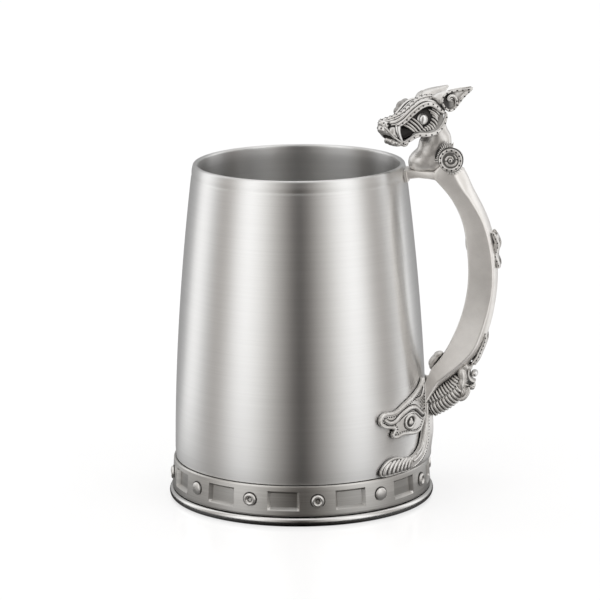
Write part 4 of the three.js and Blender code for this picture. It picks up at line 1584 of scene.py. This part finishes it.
brow = riveted("left_riveted_brow", BROW, 1.75, 1.95, 0.34, (0, -1, 0.25), (0.05,), 0.6)
ear = left_ear()
eye_ball = melted("left_eye_ball", [
    ((1.75, 1.4, 1.95), (-9.1, -6.0, 145.5), 0), ((2.1, 0.8, 2.3), (-9.3, -5.3, 145.5), 0),
], 0.16, 3)
left_pieces = {
    "brow": (brow, "aged_and_shaded", "polished_pewter"),
    "ear": (ear, "satin", "satin_pewter"),
    "eye": (eye_ball, "polished", "polished_pewter"),
    "fang": (long_fang(), "polished", "polished_pewter"),
}
print("left pieces:", ", ".join(left_pieces))

# %% Mirror them and turn them with the head
for node, (piece, finish, slot) in left_pieces.items():
    twin = mirrored(piece, piece.name.replace("left", "right"))
    if node == "ear":
        reshape(twin, lambda x, y, z: (1.2 * x - 2.2, y, z - 0.1))
    place(turn_head(piece), finish, slot, "left_" + node)
    place(turn_head(twin), finish, slot, "right_" + node)
print("head pieces:", sorted(left_pieces))

# %% [markdown]
# ## The ribbed belly
#
# Small castings are soldered on the bow's back and at its root. The first is a ribbed
# belly under the tail. It is rolled through rings along a line: each ring is larger on a
# rib and smaller in a groove, the two rows of ribs are half a rib apart, and a crease runs
# between them.

# %% Roll the belly under the tail
BELLY_LINE = curved([(49.0, 35.6), (52.4, 37.3), (56.0, 39.7), (59.2, 42.6), (61.4, 46.0)], 40)
BELLY_RIBS = 13
BELLY_RADIUS, RIB_RISE = 4.2, 1.1


def belly_ring(along, centre, up):
    """The belly's ring of corners at a share of its length."""
    swell = 1 - 0.24 * along ** 3
    ring = []
    for k in range(40):
        turn = 2 * math.pi * k / 40
        row = 0.5 if math.sin(turn) < 0.1 else 0.0
        rib = abs(math.sin(math.pi * (BELLY_RIBS * along + row))) ** 0.6
        crease = 0.24 * math.exp(-((math.sin(turn) - 0.1) / 0.13) ** 2)
        size = (BELLY_RADIUS + RIB_RISE * rib) * swell * (1 - crease)
        high = size * math.sin(turn)
        ring.append((centre[0] + up.x * high, size * 1.04 * math.cos(turn), centre[1] + up.y * high))
    return ring


belly_rings = []
last = len(BELLY_LINE) - 1
for i, centre in enumerate(BELLY_LINE):
    ahead, behind = Vector(BELLY_LINE[min(i + 1, last)]), Vector(BELLY_LINE[max(i - 1, 0)])
    way = (ahead - behind).normalized()
    belly_rings.append(belly_ring(i / last, centre, Vector((-way.y, way.x))))
belly = smooth(rolled("ribbed_belly", belly_rings), 60)
reshape(belly, lambda x, y, z: clear_of_cup(x, y, z, 2.0))
place(belly, "satin", "aged_pewter", "belly_ribs")
print("belly faces:", len(belly.data.polygons))

# %% [markdown]
# ## The leaf, the curl and the bead
#
# Behind the tail a leaf rises from the belly, and a flat wire curls round a bead. The leaf
# and the bead are melted. The curl is rolled through flat rings round an oval.

# %% Melt the leaf
leaf = melted("curling_leaf", [
    ((2.2, 5.0, 4.2), (61.6, 0, 47.8), -14), ((2.0, 5.1, 4.4), (61.5, 0, 44.4), 4),
    ((1.7, 4.8, 3.0), (62.0, 0, 41.0), 8), ((1.8, 4.6, 2.4), (63.0, 0, 50.8), -50),
], 0.3, 4)
leaf_edge = ribbon("leaf_edge", [
    (64.0, -4.4, 43.4), (64.0, -4.9, 41.6), (62.9, -5.1, 39.6), (61.4, -5.0, 38.6), (60.4, -4.6, 38.7),
], 1.3, (0.3, -1, 0))
leaf_edge_twin = mirrored(leaf_edge, "leaf_edge_twin")
leaf_casting = joined("tail_leaf_casting", leaf, leaf_edge, leaf_edge_twin)
place(leaf_casting, "plain", "satin_pewter", "tail_leaf")
print("leaf faces:", len(leaf_casting.data.polygons))

# %% Roll the curl
curl_low, curl_high = node_box("tail_curl")
CURL_X, CURL_Z = (curl_low.x + curl_high.x) / 2, (curl_low.z + curl_high.z) / 2
CURL_STEPS = 12
curl_line = [
    (CURL_X + 0.2 + (2.1 + 0.1 * k / 12) * math.cos(math.radians(70 + 17.5 * k)), 0,
     CURL_Z + 0.5 + 3.4 * math.sin(math.radians(70 + 17.5 * k)))
    for k in range(CURL_STEPS + 1)
]
curl_rings = []
for i, (x, _, z) in enumerate(curl_line):
    ahead = Vector(curl_line[min(i + 1, 12)])
    behind = Vector(curl_line[max(i - 1, 0)])
    way = (ahead - behind).normalized()
    out = Vector((-way.z, 0, way.x))
    along = abs(2 * i / 12 - 1)
    half = 0.62 * (1 - 0.35 * along ** 3)
    wide = 3.1 * (1 - 0.35 * along ** 3)
    curl_rings.append([
        (x + out.x * half * math.sin(t) , wide * squarish(t, 0.6)[0], z + out.z * half * math.sin(t))
        for t in (2 * math.pi * k / 24 for k in range(24))
    ])
curl = smooth(rolled("curl", curl_rings), 60)
print("curl at", round(CURL_X, 1), round(CURL_Z, 1))

# %% Beads on and in the curl
KNOB_X, KNOB_Z = CURL_X - 0.6, CURL_Z - 4.9
knob = beads("small_bead", [(KNOB_X, y, KNOB_Z) for y in (-1.8, 0, 1.8)], 1.15, 16, 10)
knob_pits = blacken(beads("small_pits", [
    (KNOB_X + 0.8 * math.cos(a), -2.6, KNOB_Z + 0.8 * math.sin(a)) for a in (0.3, 1.6, 2.9, 4.2, 5.4)
], 0.22))
place(joined("tail_curl_casting", curl, knob, knob_pits), "satin", "satin_pewter", "tail_curl")
bead_centre = (CURL_X + 0.2, 0, CURL_Z)
bead = melted("round_bead", [
    ((1.35, 2.9, 1.35), bead_centre, 0), ((0.8, 3.3, 0.8), bead_centre, 0),
], 0.22, 3)
bead_pits = blacken(beads("bead_pit", [(CURL_X + 0.3, y, CURL_Z) for y in (-3.2, 3.2)], 0.3))
place(joined("tail_bead_casting", bead, bead_pits), "polished", "polished_pewter", "tail_bead")
print("knob at", round(KNOB_X, 1), round(KNOB_Z, 1))

# %% [markdown]
# ## The fin, the scroll and the root leaf
#
# The fin and the scroll are strips that lie along the bow's back, each with a riveted
# ribbon down either side and a smooth body between. A leaf wraps the bow at the fin, and
# another fills the corner between the bow's root and the cup.

# %% Lay the riveted strips on the bow's back
def back_strip(name, line, y_places, width, pitch):
    """Riveted ribbons side by side along the bow's back, joined into one piece."""
    parts = []
    for y in y_places:
        parts.append(
            riveted(
                name, [(x, y, z) for x, z in line], width, pitch, 0.26, (0.2, -1 if y <= 0 else 1, 0),
                thick=0.55
            )
        )
    return joined(name, *parts)


FIN_LINE = [
    (72.6, 102.2), (73.6, 100.2), (74.6, 97.4), (73.9, 94.8), (73.7, 92.8), (74.6, 90.6), (75.0, 88.9)
]
fin = back_strip("fin_strips", FIN_LINE, (-3.0, 3.0), 1.9, 1.7)
fin_body = melted("fin_body", [
    ((1.3, 3.6, 4.2), (73.4, 0, 97.0), 12), ((1.2, 3.4, 3.2), (73.7, 0, 92.2), -12),
    ((0.9, 3.0, 1.6), (74.6, 0, 89.6), -20),
], 0.3, 4)
wrap_leaf = melted("wrap_leaf", [
    ((1.6, 0.7, 4.8), (63.2, 6.4, 97.5), 4), ((5.0, 0.7, 2.6), (67.0, 6.6, 96.0), 10),
    ((3.0, 0.7, 3.4), (70.8, 6.5, 95.0), 0),
], 0.3, 4)
place(joined("back_fin_casting", fin, fin_body, wrap_leaf), "aged_and_shaded", "satin_pewter", "back_fin")
SCROLL_LINE = [
    (69.9, 64.4), (70.1, 61.8), (69.5, 59.4), (68.5, 57.0), (67.7, 54.9), (66.5, 53.0), (65.2, 51.9)
]
scroll = back_strip("scroll_strips", SCROLL_LINE, (-3.2, 3.2), 1.8, 1.6)
scroll_body = melted("scroll_body", [
    ((1.1, 3.4, 3.6), (69.1, 0, 61.0), 22), ((1.2, 3.4, 2.6), (67.5, 0, 56.4), 32),
    ((1.1, 3.2, 1.6), (66.2, 0, 53.6), 30),
], 0.3, 4)
place(joined("back_scroll_casting", scroll, scroll_body), "aged_and_shaded", "satin_pewter", "back_scroll")
print("strips laid")

# %% Melt the leaf at the bow's root
root_leaf = melted("root_lobe", [
    ((3.0, 2.2, 1.5), (50.6, 1.0, 52.4), -48), ((2.0, 2.0, 1.3), (52.2, 1.0, 54.4), -20),
    ((2.2, 1.8, 1.2), (50.0, 1.0, 50.6), -70),
], 0.28, 5)
reshape(root_leaf, lambda x, y, z: clear_of_cup(x, y, z, 0.6))
place(root_leaf, "satin", "satin_pewter", "root_leaf")
print("root leaf faces:", len(root_leaf.data.polygons))

# %% [markdown]
# ## The wings on the cup
#
# Where the handle meets the wall, flat castings were bent to the cup before they were
# soldered: a wing on each side, a ribbed fan under each, and a spine between them. Each is
# drawn flat, as arc length from the handle and height, and bent round at the end. The
# wing's lines are ribbons laid on its plate, with graved lines and rows of pits beside
# them, and its eye is three rings round a drop.

# %% The wing's outline, and edgings for flat castings
WING = [
    (7.2, 47.6), (9.6, 46.2), (13.6, 44.6), (18.7, 43.0), (24.1, 41.4), (28.2, 39.7), (31.4, 39.3),
    (34.8, 39.7),
    (37.2, 38.3), (37.5, 36.0), (35.6, 34.1), (32.4, 33.2), (30.4, 32.5), (31.6, 31.2), (31.1, 29.5),
    (28.8, 28.9), (25.9, 29.4), (21.6, 28.8), (17.4, 28.2), (13, 28.8), (9.6, 31.6), (7.2, 34.0),
    (6.6, 41.0),
]


def onto_cup(piece):
    """Bends a casting drawn flat, its face along -Y, round the cup."""
    reshape(piece, lambda x, y, z: wrap(x, -y, z))
    return piece


def inset_line(outline, amount):
    """An outline's points moved inwards by an amount."""
    count = len(outline)
    area = sum(a[0] * b[1] - b[0] * a[1] for a, b in zip(outline, outline[1:] + outline[:1]))
    sign = 1 if area > 0 else -1
    moved = []
    for i, here in enumerate(outline):
        way = (Vector(outline[(i + 1) % count]) - Vector(outline[i - 1])).normalized()
        moved.append((here[0] - sign * way.y * amount, here[1] + sign * way.x * amount))
    return moved


def edging(outline, amount, face, width, pitch=None, pit=None):
    """A raised edge along an outline, with or without a row of black pits inside it."""
    fine = curved(outline, 4, closed=True)
    rim = inset_line(fine, amount)
    rim.append(rim[0])
    strip = ribbon("edge", [(x, -face, z) for x, z in rim[::2]], width, thick=0.3, spans=2)
    if not pitch:
        return [strip]
    inner = inset_line(fine, amount + width * 0.95)
    inner.append(inner[0])
    places = spaced([(x, -face - 0.05, z) for x, z in inner], pitch)
    return [strip, blacken(beads("pits", places, pit, 6, 4))]


def engraved(line, aside):
    """A thin black line beside a line, as a graver leaves beside a raised one."""
    fine = curved(line, 3)
    moved = []
    for i, (x, y, z) in enumerate(fine):
        ahead, behind = fine[min(i + 1, len(fine) - 1)], fine[max(i - 1, 0)]
        way = Vector((ahead[0] - behind[0], ahead[2] - behind[2])).normalized()
        moved.append((x - way.y * aside, y + 0.05, z + way.x * aside))
    return blacken(tube("engraved", moved, 0.2, 6, 0.8))


print("wing outline corners:", len(WING))

# %% The wing's waves and eye
WING_FACE = 1.5
WAVE = [
    (x, -WING_FACE, z) for x, z in (
        (35.6, 37.2), (33.0, 35.6), (30.2, 35.6), (27.4, 37.2), (24.4, 38.4), (21.0, 39.0),
        (17.4, 38.4), (14.4, 36.4), (11.6, 34.8), (9.0, 35.2),
    )
]
UPPER_WAVE = [
    (x, -WING_FACE, z) for x, z in ((9.3, 45.4), (9.8, 43.0), (12.0, 41.2), (15.0, 41.0), (17.6, 41.4))
]
EYE_X, EYE_Z = 21.4, 33.9


def wing_waves():
    """Ribbons along the wing, with a graved line or a row of pits beside each."""
    under = [(x + 0.3, y, z - 1.9) for x, y, z in WAVE[3:]]
    pit_line = [(x + 0.15, y - 0.1, z - 1.4) for x, y, z in WAVE[3:]]
    scales = [
        (8.6 + 1.1 * k, -WING_FACE - 0.02, 40.2 - 0.5 * k + 1.2 * row)
        for k in range(5) for row in range(-1, 2)
    ]
    return [
        ribbon("wave", WAVE, 1.7, thick=0.75), engraved(WAVE, 1.0), engraved(WAVE, -1.0),
        ribbon("under_wave", under, 0.8, thick=0.4),
        blacken(beads("pits", spaced(pit_line, 1.0), 0.24, 6, 4)),
        ribbon("upper_wave", UPPER_WAVE, 1.1, thick=0.5), engraved(UPPER_WAVE, 0.8),
        blacken(beads("pits", scales, 0.24, 6, 4)),
    ]


def wing_eye():
    """A ring, a black floor and a black seam round a drop."""
    def oval(radius_x, radius_z, lift):
        turns = [2 * math.pi * k / 24 for k in range(25)]
        return [
            (EYE_X + radius_x * math.cos(t), -WING_FACE - lift, EYE_Z + radius_z * math.sin(t))
            for t in turns
        ]

    face = -WING_FACE - 0.2
    return [
        tube("eye_ring", oval(3.1, 2.4, 0.1), 0.6, 8, 1.0),
        blacken(tube("eye_floor", oval(2.2, 1.6, 0.02), 0.45, 6, 1.0)),
        blacken(tube("eye_seam", oval(3.85, 3.05, -0.05), 0.2, 6, 1.0)),
        melted("eye_drop", [
            ((1.4, 0.9, 1.05), (EYE_X, face, EYE_Z - 0.35), 0),
            ((0.7, 0.7, 1.1), (EYE_X - 0.1, face, EYE_Z + 0.5), 0),
        ], 0.2, 2),
    ]


print("wing eye at", EYE_X, EYE_Z)

# %% Model the wing and its twin
body = plate_on_cup("wing_plate", curved(WING, 2, closed=True), 1.2, 1.5, edge=0.4)
parts = edging(WING, 0.6, WING_FACE, 1.15, 1.15, 0.27) + wing_waves() + wing_eye()
wing = joined("left_wing_casting", body, *[onto_cup(part) for part in parts])
far_wing = mirrored(wing, "right_wing_casting")
reshape(far_wing, lambda x, y, z: (x, y, z - 0.55 * max(z - 42, 0)))
place(far_wing, "aged_and_shaded", "satin_pewter", "right_wing")
place(wing, "aged_and_shaded", "satin_pewter", "left_wing")
print("wing faces:", len(wing.data.polygons))

# %% [markdown]
# ## The ribbed fans
#
# A fan of seven fat ribs stands on the band under each wing. The ribs are bars laid side
# by side on a darkened plate, each curling over towards the stem.

# %% Model the fan and its twin
FAN = [
    (21.6, 15.5), (26, 15.4), (31, 15.4), (36.1, 15.5), (37.6, 16.8), (36.8, 19.0), (34.3, 21.0),
    (30.8, 22.0),
    (27.1, 21.4), (23.6, 20.4), (21.6, 20),
]
FAN_RIBS = 7
body = plate_on_cup("fan_plate", curved(FAN, 2, closed=True), 0.9, 1.5, edge=0.3)
parts = []
for n in range(FAN_RIBS):
    base = 35.8 - 2.15 * n
    top = 20.9 - 0.12 * abs(n - 1.5) ** 1.4
    line = [
        (base, -1.2, 15.9), (base - 0.1, -1.35, 17.2), (base - 1.0, -1.45, 19.0),
        (base - 3.4, -1.3, top),
    ]
    parts.append(tube("rib", curved(line, 4), 0.78, 10, 0.5, 0.9))
parts += edging(FAN, 0.35, 1.2, 0.7)
fan = joined("left_fan_casting", blacken(body, 0.6), *[onto_cup(part) for part in parts])
place(mirrored(fan, "right_fan_casting"), "aged_and_shaded", "satin_pewter", "right_fan")
place(fan, "aged_and_shaded", "satin_pewter", "left_fan")
print("fan ribs:", FAN_RIBS)

# %% [markdown]
# ## The spine and its stems
#
# Between the wings a ridged spine runs down the wall and parts into two stems, which end
# at the fans. The plate's crown makes the ridge, and ribbons make the stems' edges.

# %% Model the spine
STEM = [
    (21.4, 15.5), (21.2, 20), (18.8, 20.4), (15.6, 21.4), (13.0, 23.0), (11.2, 25.4), (9.6, 28.2),
    (8.4, 31),
    (7.4, 34), (6.9, 37.4),
]
FACE = -1.75
STEM_PITS = (
    (20.4, 16.2), (16.0, 16.9), (12.0, 18.2), (8.4, 20.6), (6.2, 24.0), (5.0, 28.0),
    (4.6, 33.0), (4.6, 37.0),
)
STEM_MIDDLE = (
    (20.0, 18.4), (16.6, 19.0), (13.6, 20.2), (10.6, 22.6), (8.4, 25.8), (6.8, 29.6),
    (6.0, 33.6), (5.8, 37.0),
)


def spine_crown(a, h):
    """A ridge down the middle that fades out into the stems."""
    return 1.2 * math.exp(-(a / 2.6) ** 2) * min(max((h - 17) / 8, 0), 1)


both_stems = STEM + [(-a, h) for a, h in reversed(STEM)]
spine_body = plate_on_cup("spine_plate", both_stems, 1.4, 1.3, edge=0.35, crown=spine_crown)
spine_parts = []
for sign in (1, -1):
    edge_line = [(sign * (a - 0.9), FACE, h + (0.2 if a > 14 else 0)) for a, h in STEM[2:]]
    pit_line = [(sign * a, FACE, h) for a, h in STEM_PITS]
    middle_line = [(sign * a, FACE, h) for a, h in STEM_MIDDLE]
    spine_parts += [
        ribbon("stem_edge", edge_line, 0.9, thick=0.35),
        riveted("stem_pits", pit_line, 1.3, 1.2, 0.22, edges=(0.0,), thick=0.35),
        ribbon("stem_middle", middle_line, 1.5, thick=0.5),
    ]
spine = joined("tail_spine_casting", spine_body, *[onto_cup(part) for part in spine_parts])
place(spine, "aged_and_shaded", "satin_pewter", "tail_spine")
print("spine faces:", len(spine.data.polygons))

# %% [markdown]
# ## The table and the light
#
# The tankard stands on a glossy white table inside a tent of white paper. A slit in the
# tent, where the lens looks in, and the seams between its papers make the darker bands
# that run down the cup. The table glows with a painted reflection of the tent, so on the
# cup the bands run on below the horizon: the table shows them to every ray but the
# camera's, which sees it white. Near the tankard that glow is dimmed, as a painted shadow.

# %% The tent's brightness by bearing from the lens
TENT_STOPS = [
    (0.0, (0.024, 0.019, 0.016)), (0.037, (0.088, 0.079, 0.072)), (0.07, (0.19, 0.178, 0.167)),
    (0.139, (0.44, 0.428, 0.412)), (0.209, (0.745, 0.738, 0.726)), (0.28, 0.96), (0.32, 0.94),
    (0.36, (0.805, 0.80, 0.792)), (0.40, (0.56, 0.548, 0.534)), (0.444, (0.385, 0.368, 0.352)),
    (0.49, (0.345, 0.328, 0.313)), (0.538, (0.485, 0.48, 0.472)), (0.59, 0.757),
    (0.64, 0.918), (0.69, 0.817), (0.74, 0.48), (0.80, 0.34), (1.0, 0.25),
]


def tent_glow(recipe, where):
    """The tent's brightness towards a direction, or over a place on the table."""
    parts = recipe.node("ShaderNodeSeparateXYZ", {}, {0: where})
    east, north = (Value(recipe, parts.outputs[n]) for n in range(2))
    facing_x, facing_y = math.sin(CAMERA_BEARING), -math.cos(CAMERA_BEARING)
    ahead = east * facing_x + north * facing_y
    aside = east * -facing_y + north * facing_x
    bearing = recipe.node("ShaderNodeMath", {"operation": "ARCTAN2"}, {0: aside, 1: ahead}, "Value")
    turn = recipe.node("ShaderNodeMath", {"operation": "ABSOLUTE"}, {0: bearing}, "Value")
    return recipe.node("ShaderNodeValToRGB", {"stops": TENT_STOPS}, {"Fac": turn / math.pi}, "Color")


print("tent stops:", len(TENT_STOPS))

# %% The table
# The painted reflection on the table is dimmed near the tankard between these distances, as a painted
# shadow.
TABLE_NEAR, TABLE_FAR = 0.050, 0.150      # where the tankard's own shade ends, in metres
deselect_all()
bpy.ops.mesh.primitive_plane_add(size=8, location=(0, 0, -0.00005))
table = bpy.context.active_object
table.name = "table"
white_table = Recipe("white_table")
where = white_table.node("ShaderNodeTexCoord", {}, {}, "Object")
away = white_table.node("ShaderNodeVectorMath", {"operation": "LENGTH"}, {0: where}, "Value")
clear = white_table.between(away, TABLE_NEAR, TABLE_FAR)
# A painted reflection of the tent, dimmed near the tankard as a painted shadow, for every ray but the
# camera's.
painted_tent_reflection = white_table.node("ShaderNodeEmission", {}, {
    "Color": tent_glow(white_table, where), "Strength": 0.08 + clear * 1.12,
}, "Emission")
paper_white = white_table.node("ShaderNodeBsdfPrincipled", {}, {
    "Base Color": (0.46, 0.46, 0.46, 1), "Roughness": 0.2, "Specular IOR Level": 0.3,
    "Emission Color": (1, 1, 1, 1), "Emission Strength": 0.62,
}, "BSDF")
seen = white_table.node("ShaderNodeLightPath", {}, {}, "Is Camera Ray")
surface = white_table.node(
    "ShaderNodeMixShader", {}, {0: seen, 1: painted_tent_reflection, 2: paper_white}, "Shader",
)
white_table.node("ShaderNodeOutputMaterial", {}, {"Surface": surface})
table.data.materials.append(white_table.material)
print("table laid")

# %% The tent
TENT_LIGHT = 1.5
ROOF_START, ROOF_END = 0.66, 0.92      # how far up the walls turn into the roof
ROOF = (0.72, 0.72, 0.72, 1)
world = bpy.data.worlds.new("light_tent")
bpy.context.scene.world = world
world.use_nodes = True
tent = Recipe.__new__(Recipe)
tent.tree = world.node_tree
tent.tree.nodes.clear()
way = tent.node("ShaderNodeTexCoord", {}, {}, "Generated")
up = Value(tent, tent.node("ShaderNodeSeparateXYZ", {}, {0: way}).outputs[2])
glow = tent.mix(tent.between(up, ROOF_START, ROOF_END), tent_glow(tent, way), ROOF)
seen = tent.node("ShaderNodeLightPath", {}, {}, "Is Camera Ray")
sky = tent.node("ShaderNodeBackground", {}, {"Color": glow, "Strength": TENT_LIGHT}, "Background")
white = tent.node("ShaderNodeBackground", {}, {"Color": (1, 1, 1, 1), "Strength": 1.0}, "Background")
both = tent.node("ShaderNodeMixShader", {}, {0: seen, 1: sky, 2: white}, "Shader")
tent.node("ShaderNodeOutputWorld", {}, {"Surface": both})
bpy.context.scene.view_settings.view_transform = "Standard"
print("light tent ready")

# %% Count the pieces and finish
print("pieces:", len(shown_pieces))
